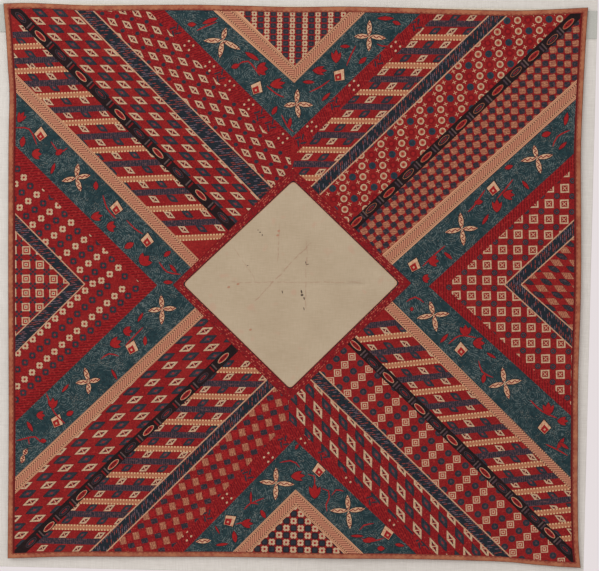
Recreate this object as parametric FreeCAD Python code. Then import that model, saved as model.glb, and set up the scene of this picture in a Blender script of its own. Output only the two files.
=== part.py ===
"""Dyed cotton square hung by its top edge from a fabric-covered display panel.

Frame: X to the right as seen from the front, Y towards the wall, Z up, millimetres.
The origin is on the wall, at the middle of the wall cleat's line of screw holes.
"""
import FreeCAD, Part
import os
from FreeCAD import Vector

# ---- driving dimensions -------------------------------------------------------------------------
PANEL_WIDTH = 1090.0
PANEL_HEIGHT = 1070.0
PANEL_TOP = 200.0  # height of the panel's top edge above the wall screws

COVER_THICKNESS = 0.6
COVER_TURN_OVER = 26.0  # width of the cover fabric folded onto the back of the frame
BOARD_THICKNESS = 4.0
BAR_WIDTH = 60.0
BAR_THICKNESS = 20.0
RAIL_HEIGHT = 70.0
HANGING_RAIL_BOTTOM = 20.0
LOWER_RAIL_BOTTOM = -700.0
STILE_WIDTH = 50.0

CLEAT_THICKNESS = 18.0  # distance from the wall to the back of the frame
CLEAT_CLEARANCE = 0.5  # between the wall cleat and the frame
WALL_CLEARANCE = 1.0  # between the panel cleat and the wall
WALL_CLEAT_LENGTH = 860.0
WALL_CLEAT_HEIGHT = 60.0
PANEL_CLEAT_LENGTH = 900.0
PANEL_CLEAT_TOP = 76.0

WALL_HOLE_RADIUS = 2.75
WALL_HOLE_HEAD_RADIUS = 5.5
WALL_HOLES_X = (-360.0, -120.0, 120.0, 360.0)

PLATE_LEG = 72.0
PLATE_WIDTH = 18.0
PLATE_THICKNESS = 2.0
PLATE_INSET = 33.0  # from the frame's outer edge to the plate's outer edge
PLATE_HOLES = (22.0, 60.0)  # along each leg, from the plate's outer corner

SPACER_SIZE = 56.0
SPACER_X = 400.0
PAD_THICKNESS = 3.0
PAD_RADIUS = 20.0

TAPE_WIDTH = 50.0
HOOK_TAPE_THICKNESS = 1.6
LOOP_TAPE_THICKNESS = 1.4
TAPE_BELOW_PANEL_TOP = 36.0
CLOTH_ABOVE_TAPE = 4.0

CLOTH_WIDTH = 1055.0
CLOTH_HEIGHT = 1015.0
CLOTH_THICKNESS = 0.6
CLOTH_CENTRE_X = 5.0
EDGING_WIDTH = 10.0
EDGING_THICKNESS = 0.4
WEBBING_WIDTH = 75.0
WEBBING_THICKNESS = 1.2
HEADER_SIDE_MARGIN = 8.0  # webbing and loop tape end this far inside the cloth's sides
HEADER_HEIGHT = 80.0  # from the cloth's top edge to the line where it bends
BEND_GAP = 1.0

STITCH_LENGTH = 4.0
STITCH_PITCH = 9.0
STITCH_WIDTH = 0.7
STITCH_THICKNESS = 0.4

STAPLE_CROWN = 11.0
STAPLE_LEG = 7.0
STAPLE_WIRE_WIDTH = 1.2
STAPLE_WIRE_THICKNESS = 0.5
COVER_STAPLE_PITCH = 82.0
TAPE_STAPLE_PITCH = 118.0

# ---- derived places -----------------------------------------------------------------------------
FRAME_BACK = -CLEAT_THICKNESS
FRAME_FRONT = FRAME_BACK - BAR_THICKNESS
BOARD_FRONT = FRAME_FRONT - BOARD_THICKNESS
PANEL_FRONT = BOARD_FRONT - COVER_THICKNESS
PANEL_BOTTOM = PANEL_TOP - PANEL_HEIGHT
FRAME_HALF = PANEL_WIDTH / 2 - COVER_THICKNESS
FRAME_TOP = PANEL_TOP - COVER_THICKNESS
FRAME_BOTTOM = PANEL_BOTTOM + COVER_THICKNESS
INNER_HALF = FRAME_HALF - BAR_WIDTH

TAPE_TOP = PANEL_TOP - TAPE_BELOW_PANEL_TOP
TAPE_BOTTOM = TAPE_TOP - TAPE_WIDTH
HOOK_FRONT = PANEL_FRONT - HOOK_TAPE_THICKNESS
LOOP_FRONT = HOOK_FRONT - LOOP_TAPE_THICKNESS
WEBBING_FRONT = LOOP_FRONT - WEBBING_THICKNESS
CLOTH_BACK = WEBBING_FRONT - EDGING_THICKNESS
CLOTH_FRONT = CLOTH_BACK - CLOTH_THICKNESS
CLOTH_TOP = TAPE_TOP + CLOTH_ABOVE_TAPE
CLOTH_BOTTOM = CLOTH_TOP - CLOTH_HEIGHT
CLOTH_LEFT = CLOTH_CENTRE_X - CLOTH_WIDTH / 2
CLOTH_RIGHT = CLOTH_CENTRE_X + CLOTH_WIDTH / 2
BEND = CLOTH_TOP - HEADER_HEIGHT
WEBBING_TOP = CLOTH_TOP - 2.0
WEBBING_BOTTOM = WEBBING_TOP - WEBBING_WIDTH

# screw sizes: shank radius, head radius, length
PLATE_SCREW = (1.6, 3.4, 15.0)
CLEAT_SCREW = (2.2, 4.4, 34.0)
SPACER_SCREW = (2.0, 4.0, 30.0)
RAIL_SCREW = (2.2, 4.4, 95.0)


# ---- helpers ------------------------------------------------------------------------------------
def block(x0, x1, y0, y1, z0, z1):
    """Box between two corners, given in any order."""
    low = Vector(min(x0, x1), min(y0, y1), min(z0, z1))
    return Part.makeBox(abs(x1 - x0), abs(y1 - y0), abs(z1 - z0), low)


def prism_along_y(points_xz, y0, y1):
    """Straight prism from an outline in the XZ plane."""
    corners = [Vector(x, y0, z) for x, z in points_xz]
    face = Part.Face(Part.makePolygon(corners + corners[:1]))
    return face.extrude(Vector(0, y1 - y0, 0))


def prism_along_x(points_yz, x0, x1):
    """Straight prism from an outline in the YZ plane."""
    corners = [Vector(x0, y, z) for y, z in points_yz]
    face = Part.Face(Part.makePolygon(corners + corners[:1]))
    return face.extrude(Vector(x1 - x0, 0, 0))


def countersink(head_point, direction, shank_radius, head_radius):
    """Conical recess that a countersunk head fills, flush with the surface at head_point."""
    depth = head_radius - shank_radius
    return Part.makeCone(head_radius, shank_radius, depth, head_point, direction)


def wood_screw(head_point, direction, size):
    """Countersunk screw with a cross recess and a pointed tip, its head flush at head_point."""
    shank_radius, head_radius, length = size
    tip = 2.0 * shank_radius
    head_depth = head_radius - shank_radius
    head = countersink(head_point, direction, shank_radius, head_radius)
    shank_start = head_point + direction * head_depth
    shank_length = length - head_depth - tip
    shank = Part.makeCylinder(shank_radius, shank_length, shank_start, direction)
    point = Part.makeCone(shank_radius, 0.2, tip, shank_start + direction * shank_length, direction)
    return head.fuse(shank).fuse(point).removeSplitter()


def cross_recess(head_point, direction, head_radius):
    """Cross-shaped driver recess in a screw head."""
    arm = head_radius * 0.62
    half_slot = head_radius * 0.11
    depth = head_radius * 0.35
    if abs(direction.y) > 0.5:
        y0, y1 = head_point.y, head_point.y + direction.y * depth
        upright = block(head_point.x - half_slot, head_point.x + half_slot, y0, y1,
                        head_point.z - arm, head_point.z + arm)
        level = block(head_point.x - arm, head_point.x + arm, y0, y1,
                      head_point.z - half_slot, head_point.z + half_slot)
    else:
        x0, x1 = head_point.x, head_point.x + direction.x * depth
        upright = block(x0, x1, head_point.y - half_slot, head_point.y + half_slot,
                        head_point.z - arm, head_point.z + arm)
        level = block(x0, x1, head_point.y - arm, head_point.y + arm,
                      head_point.z - half_slot, head_point.z + half_slot)
    return upright.fuse(level)


def screw_set(head_points, direction, size):
    """Full screw bodies, for cutting their holes, and the same screws with driver recesses."""
    bodies = [wood_screw(point, direction, size) for point in head_points]
    screws = [body.cut(cross_recess(point, direction, size[1]))
              for body, point in zip(bodies, head_points)]
    return bodies, screws


def staple(x, y, z, along_x, into_y):
    """Wire staple whose crown lies on the surface at y; its legs run in the direction into_y."""
    half = STAPLE_CROWN / 2
    wide = STAPLE_WIRE_WIDTH / 2
    out = y - into_y * STAPLE_WIRE_THICKNESS
    tip = y + into_y * STAPLE_LEG
    pieces = []
    if along_x:
        pieces.append(block(x - half, x + half, y, out, z - wide, z + wide))
        for end, inner in ((x - half, x - half + STAPLE_WIRE_THICKNESS),
                           (x + half - STAPLE_WIRE_THICKNESS, x + half)):
            pieces.append(block(end, inner, out, tip, z - wide, z + wide))
    else:
        pieces.append(block(x - wide, x + wide, y, out, z - half, z + half))
        for end, inner in ((z - half, z - half + STAPLE_WIRE_THICKNESS),
                           (z + half - STAPLE_WIRE_THICKNESS, z + half)):
            pieces.append(block(x - wide, x + wide, out, tip, end, inner))
    return pieces[0].fuse(pieces[1:]).removeSplitter()


def spread(low, high, pitch):
    """Evenly spaced places from low to high, about one pitch apart."""
    count = max(2, int(round((high - low) / pitch)) + 1)
    return [low + (high - low) * i / (count - 1) for i in range(count)]


def cut_all(shape, tools):
    """Shape with every tool that touches it cut away."""
    near = [tool for tool in tools if tool.BoundBox.intersect(shape.BoundBox)]
    return shape.cut(near) if near else shape


# ---- wooden frame -------------------------------------------------------------------------------
def stretcher_bars():
    """Four mitred bars of the outer frame."""
    x1, x2 = FRAME_HALF, INNER_HALF
    top, bottom = FRAME_TOP, FRAME_BOTTOM
    outlines = {
        "stretcher_top": [(-x1, top), (x1, top), (x2, top - BAR_WIDTH), (-x2, top - BAR_WIDTH)],
        "stretcher_bottom": [(-x1, bottom), (x1, bottom), (x2, bottom + BAR_WIDTH), (-x2, bottom + BAR_WIDTH)],
        "stretcher_left": [(-x1, bottom), (-x1, top), (-x2, top - BAR_WIDTH), (-x2, bottom + BAR_WIDTH)],
        "stretcher_right": [(x1, bottom), (x1, top), (x2, top - BAR_WIDTH), (x2, bottom + BAR_WIDTH)],
    }
    return {name: prism_along_y(points, FRAME_BACK, FRAME_FRONT) for name, points in outlines.items()}


def inner_members():
    """Two rails between the side bars, and the stile between the rails."""
    hanging = block(-INNER_HALF, INNER_HALF, FRAME_BACK, FRAME_FRONT,
                    HANGING_RAIL_BOTTOM, HANGING_RAIL_BOTTOM + RAIL_HEIGHT)
    lower = block(-INNER_HALF, INNER_HALF, FRAME_BACK, FRAME_FRONT,
                  LOWER_RAIL_BOTTOM, LOWER_RAIL_BOTTOM + RAIL_HEIGHT)
    stile = block(-STILE_WIDTH / 2, STILE_WIDTH / 2, FRAME_BACK, FRAME_FRONT,
                  LOWER_RAIL_BOTTOM + RAIL_HEIGHT, HANGING_RAIL_BOTTOM)
    return {"hanging_rail": hanging, "lower_rail": lower, "centre_stile": stile}


# ---- cleats, spacers and corner plates ----------------------------------------------------------
def wall_cleat():
    """Cleat on the wall: its bevelled top edge and the wall make the groove that holds the panel."""
    half = WALL_CLEAT_HEIGHT / 2
    front = FRAME_BACK + CLEAT_CLEARANCE
    bevel_low = half - CLEAT_THICKNESS
    outline = [(0, -half), (front, -half), (front, bevel_low - front), (0, bevel_low)]
    shape = prism_along_x(outline, -WALL_CLEAT_LENGTH / 2, WALL_CLEAT_LENGTH / 2)
    for x in WALL_HOLES_X:
        head = Vector(x, front, 0)
        shape = shape.cut(Part.makeCylinder(WALL_HOLE_RADIUS, CLEAT_THICKNESS + 2, Vector(x, -CLEAT_THICKNESS - 1, 0),
                                            Vector(0, 1, 0)))
        shape = shape.cut(countersink(head, Vector(0, 1, 0), WALL_HOLE_RADIUS, WALL_HOLE_HEAD_RADIUS))
    return shape


def panel_cleat():
    """Cleat on the panel: its bevelled bottom edge sits in the wall cleat's groove."""
    bevel_low = WALL_CLEAT_HEIGHT / 2 - CLEAT_THICKNESS
    back = -WALL_CLEARANCE
    outline = [(back, bevel_low - back), (FRAME_BACK, bevel_low - FRAME_BACK),
               (FRAME_BACK, PANEL_CLEAT_TOP), (back, PANEL_CLEAT_TOP)]
    return prism_along_x(outline, -PANEL_CLEAT_LENGTH / 2, PANEL_CLEAT_LENGTH / 2)


def corner_plate(side, end):
    """L-shaped steel plate across one mitre; side is -1 left or 1 right, end is -1 bottom or 1 top."""
    corner_x = side * (FRAME_HALF - PLATE_INSET)
    corner_z = FRAME_TOP - PLATE_INSET if end > 0 else FRAME_BOTTOM + PLATE_INSET
    back = FRAME_BACK + PLATE_THICKNESS
    level = block(corner_x, corner_x - side * PLATE_LEG, FRAME_BACK, back,
                  corner_z, corner_z - end * PLATE_WIDTH)
    upright = block(corner_x, corner_x - side * PLATE_WIDTH, FRAME_BACK, back,
                    corner_z, corner_z - end * PLATE_LEG)
    middle = PLATE_WIDTH / 2
    heads = [Vector(corner_x - side * along, back, corner_z - end * middle) for along in PLATE_HOLES]
    heads += [Vector(corner_x - side * middle, back, corner_z - end * along) for along in PLATE_HOLES[1:]]
    return level.fuse(upright).removeSplitter(), heads


def spacer(side):
    """Wood block that holds the panel's lower half off the wall, and its rubber pad."""
    middle_z = LOWER_RAIL_BOTTOM + RAIL_HEIGHT / 2
    centre = Vector(side * SPACER_X, 0, middle_z)
    half = SPACER_SIZE / 2
    wood = block(centre.x - half, centre.x + half, FRAME_BACK, -PAD_THICKNESS,
                 centre.z - half, centre.z + half)
    upright_edges = [edge for edge in wood.Edges if abs(edge.tangentAt(edge.FirstParameter).y) > 0.9]
    wood = wood.makeFillet(3.0, upright_edges)
    pad = Part.makeCylinder(PAD_RADIUS, PAD_THICKNESS, Vector(centre.x, -PAD_THICKNESS, centre.z), Vector(0, 1, 0))
    pad = pad.makeFillet(0.8, [pad.Edges[0]])
    inset = half - 7.0
    heads = [Vector(centre.x + sign * inset, -PAD_THICKNESS, centre.z - sign * inset) for sign in (-1, 1)]
    return wood, pad, heads


# ---- panel face ---------------------------------------------------------------------------------
def cover_fabric():
    """Fabric over the board's face and the frame's edges, folded onto the back."""
    half = PANEL_WIDTH / 2
    back = FRAME_BACK + COVER_THICKNESS
    outer = block(-half, half, PANEL_FRONT, back, PANEL_BOTTOM, PANEL_TOP)
    filling = block(-FRAME_HALF, FRAME_HALF, BOARD_FRONT, FRAME_BACK, FRAME_BOTTOM, FRAME_TOP)
    window_half = FRAME_HALF - COVER_TURN_OVER
    window = block(-window_half, window_half, FRAME_BACK - 1, back + 1,
                   FRAME_BOTTOM + COVER_TURN_OVER, FRAME_TOP - COVER_TURN_OVER)
    return outer.cut(filling).cut(window)


def cover_staples():
    """Staples through the cover fabric's turn-over, all round the back."""
    y = FRAME_BACK + COVER_THICKNESS
    inset = COVER_TURN_OVER * 0.55
    staples = []
    for z in (FRAME_TOP - inset, FRAME_BOTTOM + inset):
        for x in spread(-FRAME_HALF + 60, FRAME_HALF - 60, COVER_STAPLE_PITCH):
            staples.append(staple(x, y, z, True, -1))
    for x in (-FRAME_HALF + inset, FRAME_HALF - inset):
        for z in spread(FRAME_BOTTOM + 60, FRAME_TOP - 60, COVER_STAPLE_PITCH):
            staples.append(staple(x, y, z, False, -1))
    return staples


def hook_tape_staples():
    """Staples sunk flush into both selvedges of the hook tape."""
    y = HOOK_FRONT + 2 * STAPLE_WIRE_THICKNESS
    half = PANEL_WIDTH / 2
    staples = []
    for z in (TAPE_TOP - 4, TAPE_BOTTOM + 4):
        for x in spread(-half + 12, half - 12, TAPE_STAPLE_PITCH):
            staples.append(staple(x, y, z, True, 1))
    return staples


def staple_pockets(staples):
    """Recesses over sunk staples, so that their crowns lie below the tape's face."""
    pockets = []
    for wire in staples:
        box = wire.BoundBox
        pockets.append(block(box.XMin - 0.3, box.XMax + 0.3, HOOK_FRONT - 1, box.YMin,
                             box.ZMin - 0.3, box.ZMax + 0.3))
    return pockets


# ---- cloth --------------------------------------------------------------------------------------
def edging_strip(x0, x1, z0, z1):
    """Outer block of a strip of folded edging; the cloth is cut out of it afterwards."""
    return block(x0, x1, CLOTH_BACK + EDGING_THICKNESS, CLOTH_FRONT - EDGING_THICKNESS, z0, z1)


def cloth_pieces():
    """Cloth above and below the bend line, and the tape folded over its edges."""
    fold = EDGING_THICKNESS
    left, right = CLOTH_LEFT + fold, CLOTH_RIGHT - fold
    top, bottom = CLOTH_TOP - fold, CLOTH_BOTTOM + fold
    band = block(left, right, CLOTH_BACK, CLOTH_FRONT, BEND + BEND_GAP, top)
    drop = block(left, right, CLOTH_BACK, CLOTH_FRONT, bottom, BEND)
    low_band = BEND + BEND_GAP
    strip_top = edging_strip(CLOTH_LEFT, CLOTH_RIGHT, low_band, CLOTH_TOP)
    opening = block(CLOTH_LEFT + EDGING_WIDTH, CLOTH_RIGHT - EDGING_WIDTH, CLOTH_BACK + 2, CLOTH_FRONT - 2,
                    low_band - 1, CLOTH_TOP - EDGING_WIDTH)
    edging_top = strip_top.cut(opening).cut(band)
    low_sides = CLOTH_BOTTOM + EDGING_WIDTH
    edging_left = edging_strip(CLOTH_LEFT, CLOTH_LEFT + EDGING_WIDTH, low_sides, BEND).cut(drop)
    edging_right = edging_strip(CLOTH_RIGHT - EDGING_WIDTH, CLOTH_RIGHT, low_sides, BEND).cut(drop)
    edging_bottom = edging_strip(CLOTH_LEFT, CLOTH_RIGHT, CLOTH_BOTTOM, low_sides).cut(drop)
    return {"cloth_top_band": band, "cloth_drop": drop, "edging_top": edging_top, "edging_left": edging_left,
            "edging_right": edging_right, "edging_bottom": edging_bottom}


def header_pieces():
    """Webbing, loop tape and hand stitches on the back of the cloth's header."""
    left = CLOTH_LEFT + HEADER_SIDE_MARGIN
    right = CLOTH_RIGHT - HEADER_SIDE_MARGIN
    webbing = block(left, right, LOOP_FRONT, WEBBING_FRONT, WEBBING_BOTTOM, WEBBING_TOP)
    loop_tape = block(left, right, HOOK_FRONT, LOOP_FRONT, TAPE_BOTTOM, TAPE_TOP)
    stitch_z = WEBBING_BOTTOM + 4.0
    stitches = []
    for x in spread(left + 6, right - 6, STITCH_PITCH):
        stitches.append(block(x - STITCH_LENGTH / 2, x + STITCH_LENGTH / 2, LOOP_FRONT,
                              LOOP_FRONT + STITCH_THICKNESS, stitch_z, stitch_z + STITCH_WIDTH))
    return {"header_webbing": webbing, "loop_tape": loop_tape, "header_stitching": Part.makeCompound(stitches)}


# ---- assembly -----------------------------------------------------------------------------------
def build():
    """Every node of the object, by name."""
    into_panel = Vector(0, -1, 0)
    nodes = {"wall_cleat": wall_cleat()}
    frame = stretcher_bars()
    frame.update(inner_members())

    plates = []
    plate_heads = []
    for side in (-1, 1):
        for end in (-1, 1):
            plate, heads = corner_plate(side, end)
            plates.append(plate)
            plate_heads += heads
    plate_bodies, plate_screws = screw_set(plate_heads, into_panel, PLATE_SCREW)
    nodes["corner_plates"] = Part.makeCompound([cut_all(plate, plate_bodies) for plate in plates])
    nodes["corner_plate_screws"] = Part.makeCompound(plate_screws)

    cleat_heads = [Vector(x, -WALL_CLEARANCE, z) for x, z in
                   zip(spread(-400, 400, 160), (62.0, 44.0, 62.0, 44.0, 62.0, 44.0))]
    cleat_bodies, cleat_screws = screw_set(cleat_heads, into_panel, CLEAT_SCREW)
    nodes["panel_cleat"] = cut_all(panel_cleat(), cleat_bodies)
    nodes["panel_cleat_screws"] = Part.makeCompound(cleat_screws)

    left_wood, left_pad, left_heads = spacer(-1)
    right_wood, right_pad, right_heads = spacer(1)
    spacer_bodies, spacer_screws = screw_set(left_heads + right_heads, into_panel, SPACER_SCREW)
    nodes["spacer_left"] = cut_all(left_wood, spacer_bodies)
    nodes["spacer_right"] = cut_all(right_wood, spacer_bodies)
    nodes["spacer_screws"] = Part.makeCompound(spacer_screws)
    nodes["wall_pads"] = Part.makeCompound([left_pad, right_pad])

    middle_y = (FRAME_BACK + FRAME_FRONT) / 2
    rail_bodies = []
    rail_screws = []
    for side in (-1, 1):
        heads = [Vector(side * FRAME_HALF, middle_y, low + offset)
                 for low in (HANGING_RAIL_BOTTOM, LOWER_RAIL_BOTTOM)
                 for offset in (RAIL_HEIGHT * 0.25, RAIL_HEIGHT * 0.75)]
        bodies, screws = screw_set(heads, Vector(-side, 0, 0), RAIL_SCREW)
        rail_bodies += bodies
        rail_screws += screws
    nodes["rail_screws"] = Part.makeCompound(rail_screws)

    staples_back = cover_staples()
    staples_tape = hook_tape_staples()
    nodes["cover_staples"] = Part.makeCompound(staples_back)
    nodes["hook_tape_staples"] = Part.makeCompound(staples_tape)

    fasteners = plate_bodies + cleat_bodies + spacer_bodies + rail_bodies + staples_back + staples_tape
    for name, member in frame.items():
        nodes[name] = cut_all(member, fasteners)
    board = block(-FRAME_HALF, FRAME_HALF, FRAME_FRONT, BOARD_FRONT, FRAME_BOTTOM, FRAME_TOP)
    nodes["face_board"] = cut_all(board, staples_tape)
    nodes["cover_fabric"] = cut_all(cover_fabric(), staples_back + staples_tape)
    tape = block(-PANEL_WIDTH / 2, PANEL_WIDTH / 2, PANEL_FRONT, HOOK_FRONT, TAPE_BOTTOM, TAPE_TOP)
    nodes["hook_tape"] = cut_all(cut_all(tape, staple_pockets(staples_tape)), staples_tape)

    nodes.update(header_pieces())
    nodes.update(cloth_pieces())
    return nodes


os.makedirs("parts", exist_ok=True)
for node, shape in build().items():
    shape.exportStep(f"parts/{node}.step")
    print(node, "solids", len(shape.Solids), "valid", shape.isValid(), "volume", round(shape.Volume, 1))
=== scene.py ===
"""Looks of a dyed cotton square hung by its top edge from a linen-covered display panel.

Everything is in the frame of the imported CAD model, in metres: X to the right, Y towards the wall,
Z up. The cloth's pattern is drawn in millimetres on the flat cloth, as (x, z) pairs.
"""
import math

import bpy
from mathutils import Matrix, Vector, noise
from mathutils.geometry import delaunay_2d_cdt


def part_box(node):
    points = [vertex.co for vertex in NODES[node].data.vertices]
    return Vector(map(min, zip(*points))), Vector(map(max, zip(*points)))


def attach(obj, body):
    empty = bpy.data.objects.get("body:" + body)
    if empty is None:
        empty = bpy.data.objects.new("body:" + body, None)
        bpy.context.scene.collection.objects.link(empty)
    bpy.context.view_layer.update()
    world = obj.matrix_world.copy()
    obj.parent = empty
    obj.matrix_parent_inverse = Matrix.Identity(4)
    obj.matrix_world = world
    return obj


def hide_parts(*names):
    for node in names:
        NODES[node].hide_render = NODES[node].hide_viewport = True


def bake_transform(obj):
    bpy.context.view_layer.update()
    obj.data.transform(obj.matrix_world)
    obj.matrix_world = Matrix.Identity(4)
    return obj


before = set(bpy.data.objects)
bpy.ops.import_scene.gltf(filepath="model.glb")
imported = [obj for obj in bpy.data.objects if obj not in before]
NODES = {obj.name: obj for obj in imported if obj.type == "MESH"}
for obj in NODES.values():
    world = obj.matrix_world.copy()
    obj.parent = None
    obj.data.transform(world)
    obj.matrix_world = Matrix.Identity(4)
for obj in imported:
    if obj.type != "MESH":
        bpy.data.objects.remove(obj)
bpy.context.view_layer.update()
MM = 0.001  # metres


def srgb(red, green, blue):
    """Linear colour with alpha, from 8-bit screen values."""
    return tuple(((c / 255 + 0.055) / 1.055) ** 2.4 for c in (red, green, blue)) + (1.0,)


# ---- shader nodes ----
class Number:
    """A value worked out by shader nodes, used like a plain number."""

    def __init__(self, net, socket):
        self.net = net
        self.socket = socket

    def __add__(self, other):
        return self.net.calc("ADD", self, other)

    def __sub__(self, other):
        return self.net.calc("SUBTRACT", self, other)

    def __mul__(self, other):
        return self.net.calc("MULTIPLY", self, other)

    def fract(self):
        return self.net.calc("FRACT", self)

    def floor(self):
        return self.net.calc("FLOOR", self)

    def size(self):
        return self.net.calc("ABSOLUTE", self)

    def sine(self, period):
        return self.net.calc("SINE", self * (2 * math.pi / period))

    def over(self, edge, soft):
        """0 below the edge, 1 above it, with a soft step of that width."""
        return self.net.calc("MULTIPLY_ADD", self, 1 / soft, 0.5 - edge / soft, clamp=True)

    def under(self, edge, soft):
        return self.net.calc("MULTIPLY_ADD", self, -1 / soft, 0.5 + edge / soft, clamp=True)


class Net:
    """One procedural material under construction."""

    def __init__(self, name, roughness=0.9, metallic=0.0, sheen=0.0):
        self.material = bpy.data.materials.new(name)
        self.material.use_nodes = True
        self.tree = self.material.node_tree
        self.shader = self.tree.nodes["Principled BSDF"]
        self.shader.inputs["Roughness"].default_value = roughness
        self.shader.inputs["Metallic"].default_value = metallic
        self.shader.inputs["Sheen Weight"].default_value = sheen
        self.shader.inputs["Specular IOR Level"].default_value = 0.5 if metallic else 0.15

    def node(self, kind, **settings):
        made = self.tree.nodes.new("ShaderNode" + kind)
        for key, value in settings.items():
            setattr(made, key, value)
        return made

    def feed(self, socket, value):
        if isinstance(value, Number):
            value = value.socket
        if isinstance(value, bpy.types.NodeSocket):
            self.tree.links.new(value, socket)
        else:
            socket.default_value = value

    def calc(self, operation, *values, clamp=False):
        made = self.node("Math", operation=operation, use_clamp=clamp)
        for socket, value in zip(made.inputs, values):
            self.feed(socket, value)
        return Number(self, made.outputs[0])

    def attribute(self, name):
        return self.node("Attribute", attribute_name=name).outputs["Vector"]

    def place(self):
        """Position on the piece at rest, in millimetres."""
        made = self.node("VectorMath", operation="SCALE")
        self.feed(made.inputs[0], self.node("TexCoord").outputs["Object"])
        made.inputs["Scale"].default_value = 1000.0
        return made.outputs[0]

    def split(self, vector):
        made = self.node("SeparateXYZ")
        self.feed(made.inputs[0], vector)
        return [Number(self, made.outputs[k]) for k in range(3)]

    def vector(self, *values):
        made = self.node("CombineXYZ")
        for socket, value in zip(made.inputs, values):
            self.feed(socket, value)
        return made.outputs[0]

    def noise(self, vector, grain, detail=2.0, stretch=(1, 1, 1)):
        """Cloudy value about 0.5, with features of that many millimetres."""
        scaled = self.node("VectorMath", operation="MULTIPLY")
        self.feed(scaled.inputs[0], vector)
        scaled.inputs[1].default_value = [s / grain for s in stretch]
        made = self.node("TexNoise")
        made.inputs["Scale"].default_value = 1.0
        made.inputs["Detail"].default_value = detail
        self.feed(made.inputs["Vector"], scaled.outputs[0])
        return Number(self, made.outputs[0])

    def random(self, vector):
        """Three even random values, one set for each whole-number place."""
        made = self.node("TexWhiteNoise", noise_dimensions="3D")
        self.feed(made.inputs["Vector"], vector)
        return self.split(made.outputs["Color"])

    def mix(self, amount, first, second):
        made = self.node("Mix", data_type="RGBA")
        self.feed(made.inputs[0], amount)
        self.feed(made.inputs[6], first)
        self.feed(made.inputs[7], second)
        return made.outputs[2]

    def finish(self, colour, height=None, depth=0.2, roughness=None):
        self.feed(self.shader.inputs["Base Color"], colour)
        if height is not None:
            bump = self.node("Bump")
            bump.inputs["Strength"].default_value = 0.6
            bump.inputs["Distance"].default_value = depth * MM
            self.feed(bump.inputs["Height"], height)
            self.feed(self.shader.inputs["Normal"], bump.outputs[0])
        if roughness is not None:
            self.feed(self.shader.inputs["Roughness"], roughness)
        return self.material


THREAD_PITCH = 0.45  # mm, of the printed cotton
LINEN_PITCH = 0.6


def weave(net, x, z, pitch):
    """Height of a plain weave from 0 to 1."""
    return (x.sine(2 * pitch) * z.sine(2 * pitch)).size()


class Cotton(Net):
    """Cotton at its place (x, z) on the flat cloth, or (u, v) along and across its band."""

    def __init__(self, name):
        super().__init__(name, sheen=0.1)
        self.flat = self.attribute("flat")
        self.x, self.z, _ = self.split(self.flat)
        self.threads = weave(self, self.x, self.z, THREAD_PITCH)

    def band(self):
        return self.split(self.attribute("band"))[:2]

    def cloud(self, colour, grain, detail, edge, soft, amount, other):
        """Patches of another colour, where the noise is over the edge."""
        return self.mix(self.noise(self.flat, grain, detail).over(edge, soft) * amount, colour, other)

    def woven(self, colour):
        return self.finish(colour, self.threads, 0.1)


def dye(red, green, blue):
    """Colour of the printed cotton, browned with age, from 8-bit screen values."""
    return srgb(red * 0.93, green * 0.9, blue * 0.87)


def dyed(name, base, dark, light, grain=2.6):
    """Printed cotton: uneven dye, faded clouds, thread texture and painted shade in the weave's hollows."""
    net = Cotton(name)
    colour = net.cloud(dye(*base), grain, 3, 0.56, 0.3, 1.0, dye(*dark))
    colour = net.cloud(colour, grain * 1.7, 2, 0.66, 0.2, 0.7, dye(*light))
    colour = net.cloud(colour, 40, 2, 0.6, 0.4, 0.25, dye(*light))
    # painted shade: the dark dye goes where the weave's threads dip
    return net.woven(net.mix(net.threads.under(0.25, 0.3) * 0.25, colour, dye(*dark)))


def blue_ground():
    """Blue-green ground with fields of fine pale strokes, straight in some and in rings in others."""
    net = Cotton("blue_ground")
    flat, x, z = net.flat, net.x, net.z
    colour = net.cloud(dye(28, 58, 66), 9, 3, 0.5, 0.25, 1.0, dye(44, 72, 78))
    colour = net.cloud(colour, 3.4, 2, 0.6, 0.12, 0.7, dye(24, 32, 40))
    for size, pitch, shift in ((19.0, 3.3, 0.0), (26.0, 4.0, 57.0)):
        cells = net.node("TexVoronoi", voronoi_dimensions="2D")
        cells.inputs["Scale"].default_value = 1 / size
        net.feed(cells.inputs["Vector"], net.vector(x + shift, z + net.noise(flat, 12) * 9, 0.0))
        angle, lot, _ = net.split(cells.outputs["Color"])
        turn = angle * math.pi
        along = x * net.calc("COSINE", turn) + z * net.calc("SINE", turn) + net.noise(flat, 18) * 12
        rings = Number(net, cells.outputs["Distance"]) * size
        ringed = lot.over(0.72, 0.02)
        strokes = (along + (rings - along) * ringed).sine(pitch).over(0.66, 0.4)
        gaps = net.noise(flat, 6, 1).over(0.48, 0.12)
        colour = net.mix(strokes * gaps * lot.over(0.42, 0.08) * 0.42, colour, dye(136, 156, 158))
    specks = net.noise(flat, 1.5, 0).over(0.7, 0.06) * net.noise(flat, 16, 1).over(0.56, 0.08)
    colour = net.mix(specks * 0.6, colour, dye(190, 186, 172))
    # painted shade: darker where the weave's threads dip
    return net.woven(net.mix(net.threads.under(0.2, 0.3) * 0.2, colour, dye(20, 30, 34)))


def dashes(name, base, dark, mark, other, cell, tick, share, slant):
    """Ground with small ticks in rows along a band; sizes are (along, across) in mm."""
    net = Cotton(name)
    u, v = net.band()
    u = (u + v * slant) * (1 / cell[0])
    v = v * (1 / cell[1])
    chance, hue, push = net.random(net.vector(u.floor(), v.floor(), 0.0))
    near_u = ((u + push * 0.3).fract() - 0.5).size().under(tick[0] / cell[0] / 2, 0.12)
    near_v = (v.fract() - 0.5).size().under(tick[1] / cell[1] / 2, 0.12)
    marks = near_u * near_v * chance.under(share, 0.02)
    colour = net.cloud(dye(*base), 2.6, 3, 0.55, 0.25, 1.0, dye(*dark))
    marked = net.mix(hue.over(0.5, 0.3), dye(*mark), dye(*other))
    return net.woven(net.mix(marks, colour, marked))


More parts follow.
